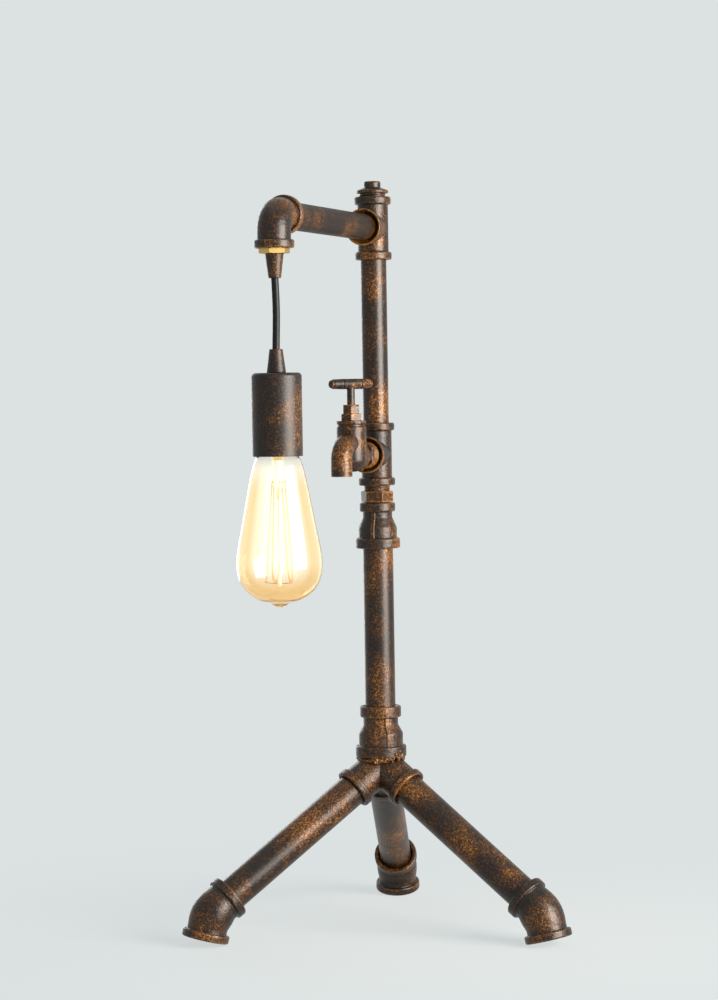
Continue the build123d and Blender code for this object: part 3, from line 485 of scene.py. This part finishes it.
def amber_glass(name):
    """Blown soda-lime glass with a thin amber coat on its outside: pale where the coat is seen
    face on, amber where it is seen slantwise, and clearer at the neck.

    The inside of the wall carries the filament's light: it glows over the height of the filament,
    fades towards the neck and turns amber towards the tip."""
    bulb = bpy.context.scene.pipe_lamp_bulb
    low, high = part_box("bulb_glass")
    axis = (low + high) / 2
    clear_neck, clear_inside = (*linear("#F2F0EA"), 1), (1, 1, 1, 1)
    tip_light, wall_light = linear("#DDBB84"), linear("#FFF3DC")
    material, tree, shader = new_material(name)
    place_on = add_node(tree, "ShaderNodeTexCoord").outputs["Object"]
    height = add_node(tree, "ShaderNodeSeparateXYZ", {"Vector": place_on}).outputs["Z"]
    slant = add_node(tree, "ShaderNodeLayerWeight", {"Blend": 0.5}).outputs["Facing"]
    coat = add_node(
        tree,
        "ShaderNodeValToRGB",
        {"Fac": slant},
        stops=((0.06, bulb.pale), (0.17, bulb.straw), (0.36, bulb.amber), (0.9, bulb.straw)),
        easing="EASE",
    ).outputs["Color"]
    # each share rises from 0 to 1 between two heights
    from_neck, towards_tip, lit_below_neck, lit_above_tip = (
        add_node(
            tree,
            "ShaderNodeMapRange",
            {"Value": height, "From Min": start, "From Max": stop},
            interpolation_type="SMOOTHSTEP",
        ).outputs["Result"]
        for start, stop in (
            (high.z - 10 * MM, high.z - 42 * MM),
            (low.z + 30 * MM, low.z + 6 * MM),
            (high.z - 12 * MM, high.z - 30 * MM),
            (low.z + 20 * MM, low.z + 36 * MM),
        )
    )
    tint = clear_neck
    for share, colour in ((from_neck, coat), (towards_tip, (*bulb.amber, 1))):
        tint = add_node(
            tree, "ShaderNodeMix", {"Factor": share, "A": tint, "B": colour}, data_type="RGBA"
        ).outputs["Result"]
    # inside: where the mesh's own normal looks towards the bulb's axis. Geometry's normal is turned
    # to the side that a ray meets, and the sign turns it back
    outward = place_on
    for operation, operand in (("SUBTRACT", tuple(axis)), ("MULTIPLY", (1, 1, 0))):
        outward = add_node(
            tree, "ShaderNodeVectorMath", {0: outward, 1: operand}, operation=operation
        ).outputs["Vector"]
    wall = add_node(tree, "ShaderNodeNewGeometry")
    normal = add_node(
        tree,
        "ShaderNodeVectorTransform",
        {"Vector": wall.outputs["True Normal"]},
        vector_type="NORMAL",
        convert_from="WORLD",
        convert_to="OBJECT",
    ).outputs["Vector"]
    sign = add_node(
        tree,
        "ShaderNodeMath",
        {0: wall.outputs["Backfacing"], 1: -2.0, 2: 1.0},
        operation="MULTIPLY_ADD",
    ).outputs["Value"]
    away = add_node(
        tree, "ShaderNodeVectorMath", {0: normal, 1: outward}, operation="DOT_PRODUCT"
    ).outputs["Value"]
    inside = away
    for operation, operand in (("MULTIPLY", sign), ("LESS_THAN", 0.0)):
        inside = add_node(
            tree, "ShaderNodeMath", {0: inside, 1: operand}, operation=operation
        ).outputs["Value"]
    strength = inside
    for share in (lit_below_neck, bulb.glow):
        strength = add_node(
            tree, "ShaderNodeMath", {0: strength, 1: share}, operation="MULTIPLY"
        ).outputs["Value"]
    light = add_node(
        tree,
        "ShaderNodeValToRGB",
        {"Fac": lit_above_tip},
        stops=((0.0, tip_light), (1.0, wall_light)),
    ).outputs["Color"]
    glass = add_node(
        tree, "ShaderNodeMix", {"Factor": inside, "A": tint, "B": clear_inside}, data_type="RGBA"
    ).outputs["Result"]
    tree.links.new(glass, shader.inputs["Base Color"])
    tree.links.new(strength, shader.inputs["Emission Strength"])
    tree.links.new(light, shader.inputs["Emission Color"])
    shader.inputs["Transmission Weight"].default_value = 1.0
    shader.inputs["Roughness"].default_value = 0.0
    shader.inputs["IOR"].default_value = 1.45
    return material


def clear_glass(name):
    """Lamp-worked lead glass of the bulb's stem: clear, with slow ripples from the flame, and a
    little of the filament's light in it."""
    ripple_width, ripple_height = 6 * MM, 0.2 * MM
    material, tree, shader = new_material(name)
    place_on = add_node(tree, "ShaderNodeTexCoord").outputs["Object"]
    ripple = add_node(
        tree, "ShaderNodeTexNoise", {"Vector": place_on, "Scale": 1 / ripple_width, "Detail": 1.0}
    ).outputs["Fac"]
    relief = add_node(
        tree, "ShaderNodeBump", {"Strength": 0.5, "Distance": ripple_height, "Height": ripple}
    )
    tree.links.new(relief.outputs["Normal"], shader.inputs["Normal"])
    shader.inputs["Base Color"].default_value = (*linear("#FFF6E2"), 1)
    shader.inputs["Emission Color"].default_value = (*linear("#F4D9A4"), 1)
    shader.inputs["Emission Strength"].default_value = 0.3
    shader.inputs["Transmission Weight"].default_value = 1.0
    shader.inputs["Roughness"].default_value = 0.04
    shader.inputs["IOR"].default_value = 1.52
    return material


def glowing_carbon(name):
    """Carbon filament at amber heat, a little cooler and redder towards its hooks."""
    low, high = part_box("bulb_filament")
    material, tree, shader = new_material(name)
    place_on = add_node(tree, "ShaderNodeTexCoord").outputs["Object"]
    height = add_node(tree, "ShaderNodeSeparateXYZ", {"Vector": place_on}).outputs["Z"]
    along = add_node(
        tree, "ShaderNodeMapRange", {"Value": height, "From Min": low.z, "From Max": high.z}
    ).outputs["Result"]
    heat = add_node(
        tree,
        "ShaderNodeValToRGB",
        {"Fac": along},
        stops=(
            (0.0, linear("#B87830")),
            (0.25, linear("#D9A050")),
            (0.8, linear("#D9A858")),
            (1.0, linear("#B87830")),
        ),
    ).outputs["Color"]
    tree.links.new(heat, shader.inputs["Emission Color"])
    tree.links.new(heat, shader.inputs["Base Color"])
    shader.inputs["Emission Strength"].default_value = 0.8
    shader.inputs["Roughness"].default_value = 0.6
    return material


class LAMP_OT_lacquer(bpy.types.Operator):
    """Lacquers the pipes, the fittings, the tap, the lampholder's cup and the grips"""

    bl_idname = "pipe_lamp.lacquer"
    bl_label = "Lacquer"

    def execute(self, context):
        # sand-cast iron: a lumpy skin, with the beads and rims rubbed bright
        cast_iron = antique_bronze(
            "antique_bronze_cast_iron", 3.5 * MM, 0.36 * MM, 0.01, wear=0.75
        )
        finish_nodes(
            cast_iron,
            [
                "corner_fitting",
                "foot_rear",
                "foot_left",
                "foot_right",
                "lower_reducer",
                "upper_reducer",
                "mid_tee",
                "top_tee",
            ],
        )
        # the same iron where a hand or a spanner goes: more copper shows
        handled = antique_bronze(
            "antique_bronze_handled_fittings", 3.5 * MM, 0.3 * MM, 0.1, wear=0.75
        )
        finish_nodes(handled, ["top_plug", "arm_elbow", "hex_nipple"])
        # rolled steel: nearly smooth, so the key light draws one long streak down it
        pipe = antique_bronze("antique_bronze_steel_pipe", 9 * MM, 0.12 * MM, 0.02)
        finish_nodes(pipe, ["leg_rear", "leg_left", "leg_right", "lower_pipe", "upper_pipe"])
        # painted shade: fewer dabs and a duller coat than the other pipes keep the arm dark under
        # the level light
        arm = antique_bronze(
            "antique_bronze_arm_pipe_painted_shade", 9 * MM, 0.12 * MM, -0.04, gloss=0.42, specular=0.16
        )
        finish_nodes(arm, ["arm_pipe"])
        # cast and turned brass under the lacquer: a shallower skin than iron's
        tap = antique_bronze("antique_bronze_tap_brass", 4 * MM, 0.24 * MM, 0.07)
        finish_nodes(tap, ["tap_body", "tap_bonnet", "packing_nut", "tap_stem", "tap_handle"])
        # drawn and turned metal: smooth, satin and even right up to its edges
        cup = antique_bronze(
            "antique_bronze_drawn_cup", 12 * MM, 0.08 * MM, 0.03, wear=0.0, gloss=0.36
        )
        finish_nodes(cup, ["lampholder_cup", "upper_grip", "lower_grip"])
        return {"FINISHED"}


# --- Threads ------------------------------------------------------------------------------------
def screw_thread(name, origin, direction, length, material, body):
    """Right-hand thread on a neck, a sleeve whose radius is a function of distance and angle.

    The wave is 1 at a crest and 0 at a root: a triangle wave of distance / pitch - angle / turn,
    rounded by wave * wave * (3 - 2 * wave). The radius is the neck's radius plus the thread's depth
    times (1.3 * wave - 0.3), and both ends sink below the neck."""
    rows_per_turn, least_rows, columns = 16, 24, 120
    end_sink = 0.6 * MM
    fittings = bpy.context.scene.pipe_lamp_fittings
    direction = Vector(direction).normalized()
    first = direction.orthogonal().normalized()
    second = direction.cross(first)
    rows = max(least_rows, int(length / fittings.thread_pitch * rows_per_turn))
    distance, angle = np.meshgrid(
        np.linspace(0, length, rows),
        np.linspace(0, TURN, columns, endpoint=False),
        indexing="ij",
    )
    phase = distance / fittings.thread_pitch - angle / TURN
    wave = np.abs(2 * (phase % 1) - 1)
    wave = wave * wave * (3 - 2 * wave)
    radius = fittings.neck_radius + fittings.thread_depth * (wave * 1.3 - 0.3)
    radius[[0, -1]] = fittings.neck_radius - end_sink
    points = (
        np.array(origin)
        + distance[..., None] * np.array(direction)
        + (radius * np.cos(angle))[..., None] * np.array(first)
        + (radius * np.sin(angle))[..., None] * np.array(second)
    )
    mesh = smooth_mesh(name, points, grid_faces(rows, columns))
    return place(name, mesh, body, material)


class LAMP_OT_threads(bpy.types.Operator):
    """Makes the threads that show on the plug, the nipple and the tap"""

    bl_idname = "pipe_lamp.threads"
    bl_label = "Threads"

    # how much of each thread shows, and how far it runs on into its socket
    plug_neck = 2.9 * MM
    nipple_neck = 4.7 * MM
    tap_neck = 11 * MM
    sunk = 1.6 * MM
    # from the column's axis to the mouth of the tee that carries the tap
    tap_face = 28 * MM

    def execute(self, context):
        iron = bpy.data.materials["antique_bronze_cast_iron"]
        brass = bpy.data.materials["antique_bronze_tap_brass"]
        upward = (0, 0, 1)
        tee_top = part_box("top_tee")[1].z
        screw_thread(
            "thread_plug",
            (0, 0, tee_top - self.sunk),
            upward,
            self.plug_neck + self.sunk,
            iron,
            "arm",
        )
        tee_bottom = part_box("mid_tee")[0].z
        screw_thread(
            "thread_nipple",
            (0, 0, tee_bottom - self.nipple_neck),
            upward,
            self.nipple_neck + self.sunk,
            iron,
            "stand",
        )
        tap_height = middle_of("mid_tee").z
        outward = Vector((*middle_of("arm_pipe").xy, 0)).normalized()
        screw_thread(
            "thread_tap",
            outward * (self.tap_face - self.sunk) + Vector((0, 0, tap_height)),
            outward,
            self.tap_neck + self.sunk,
            brass,
            "stand",
        )
        return {"FINISHED"}


# --- Weld ---------------------------------------------------------------------------------------
class LAMP_OT_weld(bpy.types.Operator):
    """Runs the weld bead round the lower reducer's mouth"""

    bl_idname = "pipe_lamp.weld"
    bl_label = "Weld"

    # azimuth and half width in degrees, growth of the section, climb over the mouth
    lumps = (
        (255, 9, 0.75, 0.4 * MM),
        (281, 8, 0.35, 0.6 * MM),
        (298, 12, 0.8, 2.4 * MM),
        (317, 16, 1.45, 4.0 * MM),
        (35, 16, 0.5, 0.8 * MM),
        (120, 14, 0.6, 1.0 * MM),
        (178, 12, 0.4, 0.5 * MM),
    )
    # share of the section, waves round the lamp, waves round the bead, start in radians
    knots = ((0.07, 19, 3, 0.0), (0.06, 31, -2, 1.0), (0.05, 47, 5, 2.0))
    # against the weld's radius: the bead between the lumps, and the height of its ripples
    thin = 0.62
    ripple = 0.10
    # ripples round the lamp, and how far in radians their phase strays
    ripples_round = 15
    stray = 1.4
    # against the weld's radius: where the bead's own axis lies, in from the solid bead's edge and
    # down from the mouth, and how much further in it moves for each unit of swell up to a limit
    inset = 1.15
    drop = 0.75
    retreat = 0.6
    swell_limit = 1.6

    def execute(self, context):
        """Bead: a ring whose section swells and climbs where the torch lingered.

        Radius of the section = weld radius * (thin + swell + ripples) * (1 + knots * (1 + swell)).
        The swell and the climb are sums of a bell curve about each lump, the ripples are the size
        of a sine of the run, and the knots are three sines of the run and section angles."""
        weld = context.scene.pipe_lamp_fittings.weld_radius
        # weld metal, frozen as it ran: a tight, deep skin that catches much copper
        material = antique_bronze("antique_bronze_weld", 2.2 * MM, 0.4 * MM, 0.12)
        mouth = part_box("lower_reducer")[0].z
        outer = (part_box("weld_bead")[1].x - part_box("weld_bead")[0].x) / 2
        rows, columns = 480, 32
        run, around = np.meshgrid(
            np.linspace(0, TURN, rows, endpoint=False),
            np.linspace(0, TURN, columns, endpoint=False),
            indexing="ij",
        )
        swell, climb, knots = 0.0, 0.0, 0.0
        for azimuth, width, growth, rise in self.lumps:
            away = np.angle(np.exp(1j * (run - math.radians(azimuth))))
            bell = np.exp(-((away / math.radians(width)) ** 2))
            swell = swell + growth * bell
            climb = climb + rise * bell
        for size, waves, twist, start in self.knots:
            knots = knots + size * np.sin(waves * run + twist * around + start)
        phase = self.ripples_round * run + self.stray * np.sin(2 * run)
        ripples = self.ripple * np.abs(np.sin(phase))
        section = weld * (self.thin + swell + ripples) * (1 + knots * (1 + swell))
        pulled_in = self.retreat * np.clip(swell, 0, self.swell_limit)
        reach = outer - weld * (self.inset + pulled_in) + section * np.cos(around)
        height = mouth - self.drop * weld + climb + section * np.sin(around)
        points = np.stack([reach * np.cos(run), reach * np.sin(run), height], axis=-1)
        faces = grid_faces(rows, columns, closed_rows=True)
        mesh = smooth_mesh("weld_bead_ripples", points, faces)
        mesh.flip_normals()
        piece = place("weld_bead_ripples", mesh, "stand", material)
        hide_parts("weld_bead")
        return {"FINISHED"}


# --- Flex ---------------------------------------------------------------------------------------
class LAMP_OT_flex(bpy.types.Operator):
    """Hangs the flex between the grips and finishes what else is plastic or rubber"""

    bl_idname = "pipe_lamp.flex"
    bl_label = "Flex"

    # the solid's own route, its ends tucked 0.8 mm into the grips
    route = (
        (-0.07536, -0.22786, 0.53297),
        (-0.07460, -0.22811, 0.51450),
        (-0.07475, -0.22806, 0.49684),
        (-0.07536, -0.22786, 0.47837),
    )

    def execute(self, context):
        flex = context.scene.pipe_lamp_flex
        # extruded PVC: black satin with a faint grain
        sheath = plain_finish(
            "black_pvc_sheath", flex.sheath, 0.0, 0.42, 1.2 * MM, 0.03 * MM, specular=0.2
        )
        curve = bpy.data.curves.new("pendant_flex", "CURVE")
        curve.dimensions = "3D"
        curve.bevel_depth = flex.radius
        curve.bevel_resolution = 8
        curve.resolution_u = 24
        curve.use_fill_caps = True
        spline = curve.splines.new("NURBS")
        spline.points.add(len(self.route) - 1)
        for point, place_at in zip(spline.points, self.route):
            point.co = (*place_at, 1)
        spline.order_u = 3
        spline.use_endpoint_u = True
        cord = add_object("pendant_flex", curve)
        cord.data.materials.append(sheath)
        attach(cord, "cord")
        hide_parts("pendant_cord")
        finish_nodes(sheath, ["switch_flex", "arm_flex", "lead_wires"])
        # compression-moulded phenolic: hard dark brown with a low shine
        phenolic = plain_finish(
            "moulded_phenolic", linear("#1A1715"), 0.0, 0.45, 2 * MM, 0.02 * MM
        )
        finish_nodes(phenolic, ["rotary_switch", "switch_rotor"])
        # moulded rubber: flat black with a dusty grain
        rubber = plain_finish("nitrile_rubber", linear("#141414"), 0.0, 0.7, 1 * MM, 0.05 * MM)
        finish_nodes(rubber, ["packing_ring"])
        return {"FINISHED"}


# --- Lampholder ---------------------------------------------------------------------------------
class LAMP_OT_holder(bpy.types.Operator):
    """Finishes the brass bush and what is inside the lampholder"""

    bl_idname = "pipe_lamp.holder"
    bl_label = "Lampholder"

    def execute(self, context):
        # turned brass: bright yellow with a very fine grain
        brass = plain_finish(
            "turned_brass", linear("#C4A260"), 1.0, 0.3, 0.5 * MM, 0.01 * MM, 0.12
        )
        finish_nodes(brass, ["brass_bush", "socket_shell", "centre_contact", "terminal_screws"])
        # glazed porcelain: warm white under a wavy, glossy glaze
        porcelain = plain_finish(
            "glazed_porcelain", linear("#EFEBE0"), 0.0, 0.16, 4 * MM, 0.03 * MM, 0.04
        )
        finish_nodes(porcelain, ["lampholder_insert"])
        # nickel plate on pressed brass: silvery, a little warm
        nickel = plain_finish(
            "nickel_plated_cap", linear("#C9C3B8"), 1.0, 0.28, 1 * MM, 0.02 * MM, 0.08
        )
        finish_nodes(nickel, ["bulb_cap"])
        # solder: a dull grey bead with a frozen skin
        solder = plain_finish("solder", linear("#A8A8AA"), 1.0, 0.45, 1.5 * MM, 0.06 * MM)
        finish_nodes(solder, ["bulb_cap_contact"])
        # poured black glass: glossy, with slow waves
        vitrite = plain_finish("black_vitrite", linear("#15161A"), 0.0, 0.2, 2 * MM, 0.03 * MM)
        finish_nodes(vitrite, ["bulb_cap_insulator"])
        return {"FINISHED"}


# --- Bulb ---------------------------------------------------------------------------------------
def bulb_point(angle, radius, height):
    """Points at an angle and radius about the bulb's axis, at a height over its tip."""
    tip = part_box("bulb_glass")[0]
    axis = middle_of("bulb_glass")
    angle, radius, height = np.broadcast_arrays(angle, radius, height)
    return np.stack(
        [axis.x + radius * np.cos(angle), axis.y + radius * np.sin(angle), tip.z + height], axis=-1
    )


class LAMP_OT_bulb(bpy.types.Operator):
    """Finishes the bulb's glass and its stem, and makes the caged filament and the wires that hold
    it
    """

    bl_idname = "pipe_lamp.bulb"
    bl_label = "Bulb"

    strands = 10
    top = 95 * MM
    bottom = 19 * MM
    top_radius = 5.0 * MM
    bottom_radius = 10.5 * MM
    wire_radius = 0.22 * MM
    stem_radius = 1.3 * MM
    # how far a wire's hook bulges out and climbs, and how far the wire rises from the stem to it
    hook_bulge = 0.5 * MM
    hook_climb = 0.9 * MM
    wire_rise = 1.5 * MM

    def cage(self):
        """Filament route: up and down between two circles, with a round loop at each turn.

        The count runs from strand to strand and the angle with it, evenly round the bulb. Height
        and radius both run from the lower circle's to the upper circle's with (1 + level) / 2,
        where the level is a cosine of half a wave a strand, squared off by a small power."""
        points_per_strand, end_gap, squareness = 36, 0.02, 0.16
        count = np.linspace(end_gap, self.strands - end_gap, self.strands * points_per_strand)
        wave = np.cos(math.pi * count)
        rise = (np.sign(wave) * np.abs(wave) ** squareness + 1) / 2
        radius = self.bottom_radius + (self.top_radius - self.bottom_radius) * rise
        height = self.bottom + (self.top - self.bottom) * rise
        return bulb_point(TURN * count / self.strands, radius, height)

    def supports(self):
        """Wires from the stem to each loop, as points (wire, ring, side, 3).

        The radius runs evenly from the stem's to the loop's over the first four fifths, and the
        wire rises evenly all the way. Over the last quarter a half sine bulges it outwards and a
        half cosine lifts its end."""
        along = np.linspace(0, 1, 14)
        bend = np.clip((along - 0.75) / 0.25, 0, 1) * math.pi
        wires = []
        for index in range(self.strands + 1):
            upper = index % 2 == 0
            reach = self.top_radius if upper else self.bottom_radius
            height = self.top if upper else self.bottom
            radius = self.stem_radius + (reach - self.stem_radius) * np.minimum(along / 0.8, 1.0)
            radius = radius + self.hook_bulge * np.sin(bend)
            lift = height - (1 - along) * self.wire_rise + self.hook_climb * (1 - np.cos(bend)) / 2
            route = bulb_point(TURN * index / self.strands, radius, lift)
            wires.append(tube_along(route, self.wire_radius))
        return np.stack(wires)

    def execute(self, context):
        bulb = context.scene.pipe_lamp_bulb
        finish_nodes(amber_glass("amber_soda_glass"), ["bulb_glass"])
        finish_nodes(clear_glass("clear_lead_glass"), ["bulb_stem"])
        carbon = glowing_carbon("glowing_carbon")
        points = tube_along(self.cage(), bulb.strand_radius)
        mesh = smooth_mesh("filament_cage", points, grid_faces(*points.shape[:2]))
        cage = place("filament_cage", mesh, "pendant", carbon)
        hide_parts("bulb_filament")
        # drawn molybdenum: thin bright wire, browned by the heat
        wire = plain_finish(
            "bright_molybdenum", linear("#8F7F68"), 1.0, 0.35, 0.5 * MM, 0.01 * MM
        )
        points = self.supports()
        count, rows, columns = points.shape[:3]
        first_point = np.arange(count)[:, None, None] * rows * columns
        faces = (grid_faces(rows, columns) + first_point).reshape(-1, 4)
        mesh = smooth_mesh("support_wires", points, faces)
        wires = place("support_wires", mesh, "pendant", wire)
        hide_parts("bulb_supports")
        return {"FINISHED"}


# --- Stage --------------------------------------------------------------------------------------
def seen_by_eye(tree):
    """1 for a ray from the camera, off a shiny surface or through glass, and else 0."""
    rays = add_node(tree, "ShaderNodeLightPath")
    seen = rays.outputs["Is Camera Ray"]
    for kind in ("Is Glossy Ray", "Is Transmission Ray"):
        seen = add_node(
            tree, "ShaderNodeMath", {0: seen, 1: rays.outputs[kind]}, operation="MAXIMUM"
        ).outputs["Value"]
    return seen


class LAMP_OT_stage(bpy.types.Operator):
    """Lays the pale floor, hangs the soft lights and sets the camera"""

    bl_idname = "pipe_lamp.stage"
    bl_label = "Stage"

    # name, place, width and height, watts, colour
    lamps = (
        ("key", (1.28, -0.98, 0.6), (1.1, 1.15), 88, "#FFF8F0"),
        ("rim", (-0.72, 1.6, 0.6), (0.4, 1.4), 7, "#FFFFFF"),
        ("overhead", (-0.2, -0.3, 1.8), (1.0, 1.0), 2, "#FFFFFF"),
    )
    # what the lights are aimed at
    aim = (0, 0, 0.32)
    # from the feet down to the floor
    floor_drop = 0.2 * MM
    # the floor keeps a fifth of its shading inside the first radius and none outside the second
    shadow_radii = (0.12, 0.5)
    # strength of the world where it isn't seen and only lights
    fill = 0.25

    def floor(self, stage):
        """Level disc: points at (radius * cos, radius * sin) out to six metres."""
        rings, spokes = np.array([0.0, 0.4, 0.9, 1.6, 3.0, 6.0]), 64
        radius, angle = np.meshgrid(
            rings, np.linspace(0, TURN, spokes, endpoint=False), indexing="ij"
        )
        level = np.full_like(radius, -self.floor_drop)
        points = np.stack([radius * np.cos(angle), radius * np.sin(angle), level], axis=-1)
        mesh = smooth_mesh("floor", points, grid_faces(len(rings), spokes))
        mesh.flip_normals()
        floor = add_object("floor", mesh)
        # matt paper: it keeps the lamp's shadow near the feet and is one flat tone beyond
        material = bpy.data.materials.new("studio_paper")
        tree = empty_tree(material)
        seen = seen_by_eye(tree)
        place_on = add_node(tree, "ShaderNodeTexCoord").outputs["Object"]
        reach = add_node(tree, "ShaderNodeVectorMath", {0: place_on}, operation="LENGTH")
        near, far = self.shadow_radii
        flatness = add_node(
            tree,
            "ShaderNodeMapRange",
            {
                "Value": reach.outputs["Value"],
                "From Min": near,
                "From Max": far,
                "To Min": 0.8,
                "To Max": 1.0,
            },
        ).outputs["Result"]
        share = add_node(tree, "ShaderNodeMath", {0: seen, 1: flatness}, operation="MULTIPLY")
        paper = (*stage.paper, 1)
        lit = add_node(tree, "ShaderNodeBsdfDiffuse", {"Color": paper})
        flat = add_node(tree, "ShaderNodeEmission", {"Color": paper, "Strength": 1.0})
        mix = add_node(
            tree,
            "ShaderNodeMixShader",
            {0: share.outputs["Value"], 1: lit.outputs["BSDF"], 2: flat.outputs["Emission"]},
        )
        add_node(tree, "ShaderNodeOutputMaterial", {"Surface": mix.outputs["Shader"]})
        floor.data.materials.append(material)

    def world(self, stage):
        """Pale paper all round where it is seen, and a quieter fill where it lights."""
        world = bpy.data.worlds.new("studio")
        bpy.context.scene.world = world
        tree = empty_tree(world)
        strength = add_node(
            tree,
            "ShaderNodeMapRange",
            {"Value": seen_by_eye(tree), "To Min": self.fill, "To Max": 1.0},
        ).outputs["Result"]
        sky = add_node(
            tree, "ShaderNodeBackground", {"Color": (*stage.paper, 1), "Strength": strength}
        )
        add_node(tree, "ShaderNodeOutputWorld", {"Surface": sky.outputs["Background"]})

    def lamp(self, name, at, size, power, colour):
        """Rectangular soft light at a point, aimed at the middle of the lamp."""
        data = bpy.data.lights.new(name, "AREA")
        data.shape = "RECTANGLE"
        data.size, data.size_y = size
        data.energy = power
        data.color = linear(colour)
        light = add_object(name, data)
        light.location = at
        light.rotation_euler = (Vector(self.aim) - Vector(at)).to_track_quat("-Z", "Y").to_euler()

    def camera(self, stage):
        """Camera in front of the column, pitched down and rolled about its view."""
        data = bpy.data.cameras.new("camera")
        data.sensor_width = 36
        data.lens = stage.lens
        data.clip_start, data.clip_end = 0.05, 50
        camera = add_object("camera", data)
        pitch, roll = stage.pitch, stage.roll
        view = Vector((0, math.cos(pitch), -math.sin(pitch)))
        right = Vector((1, 0, 0))
        above = right.cross(view)
        across = right * math.cos(roll) - above * math.sin(roll)
        upward = right * math.sin(roll) + above * math.cos(roll)
        turn = Matrix((across, upward, -view)).transposed()
        spot = Vector((stage.camera_side, -stage.camera_distance, stage.camera_height))
        camera.matrix_world = Matrix.Translation(spot) @ turn.to_4x4()
        bpy.context.scene.camera = camera

    def execute(self, context):
        stage = context.scene.pipe_lamp_stage
        self.floor(stage)
        self.world(stage)
        for lamp in self.lamps:
            self.lamp(*lamp)
        self.camera(stage)
        context.scene.view_settings.view_transform = "Standard"
        return {"FINISHED"}


class LAMP_PT_panel(bpy.types.Panel):
    """Lists the lamp's steps and settings"""

    bl_label = "Pipe lamp"
    bl_idname = "LAMP_PT_panel"
    bl_space_type = "VIEW_3D"
    bl_region_type = "UI"
    bl_category = "Pipe lamp"

    def draw(self, context):
        for settings, _ in SETTINGS:
            group = getattr(context.scene, settings)
            for name in group.__annotations__:
                self.layout.prop(group, name)
        for operator in OPERATORS:
            self.layout.operator(operator.bl_idname)


SETTINGS = [
    ("pipe_lamp_lacquer", LacquerSettings),
    ("pipe_lamp_fittings", FittingSettings),
    ("pipe_lamp_flex", FlexSettings),
    ("pipe_lamp_bulb", BulbSettings),
    ("pipe_lamp_stage", StageSettings),
]
OPERATORS = [
    LAMP_OT_lacquer,
    LAMP_OT_threads,
    LAMP_OT_weld,
    LAMP_OT_flex,
    LAMP_OT_holder,
    LAMP_OT_bulb,
    LAMP_OT_stage,
]


def register():
    """Registers the settings, the operators and the panel."""
    for name, group in SETTINGS:
        bpy.utils.register_class(group)
        setattr(bpy.types.Scene, name, bpy.props.PointerProperty(type=group))
    for operator in OPERATORS:
        bpy.utils.register_class(operator)
    bpy.utils.register_class(LAMP_PT_panel)


def unregister():
    """Takes them away again in the opposite order."""
    bpy.utils.unregister_class(LAMP_PT_panel)
    for operator in reversed(OPERATORS):
        bpy.utils.unregister_class(operator)
    for name, group in reversed(SETTINGS):
        delattr(bpy.types.Scene, name)
        bpy.utils.unregister_class(group)


def main():
    """Runs every step in order."""
    register()
    bpy.ops.pipe_lamp.lacquer()
    bpy.ops.pipe_lamp.threads()
    bpy.ops.pipe_lamp.weld()
    bpy.ops.pipe_lamp.flex()
    bpy.ops.pipe_lamp.holder()
    bpy.ops.pipe_lamp.bulb()
    bpy.ops.pipe_lamp.stage()


if __name__ == "__main__":
    main()
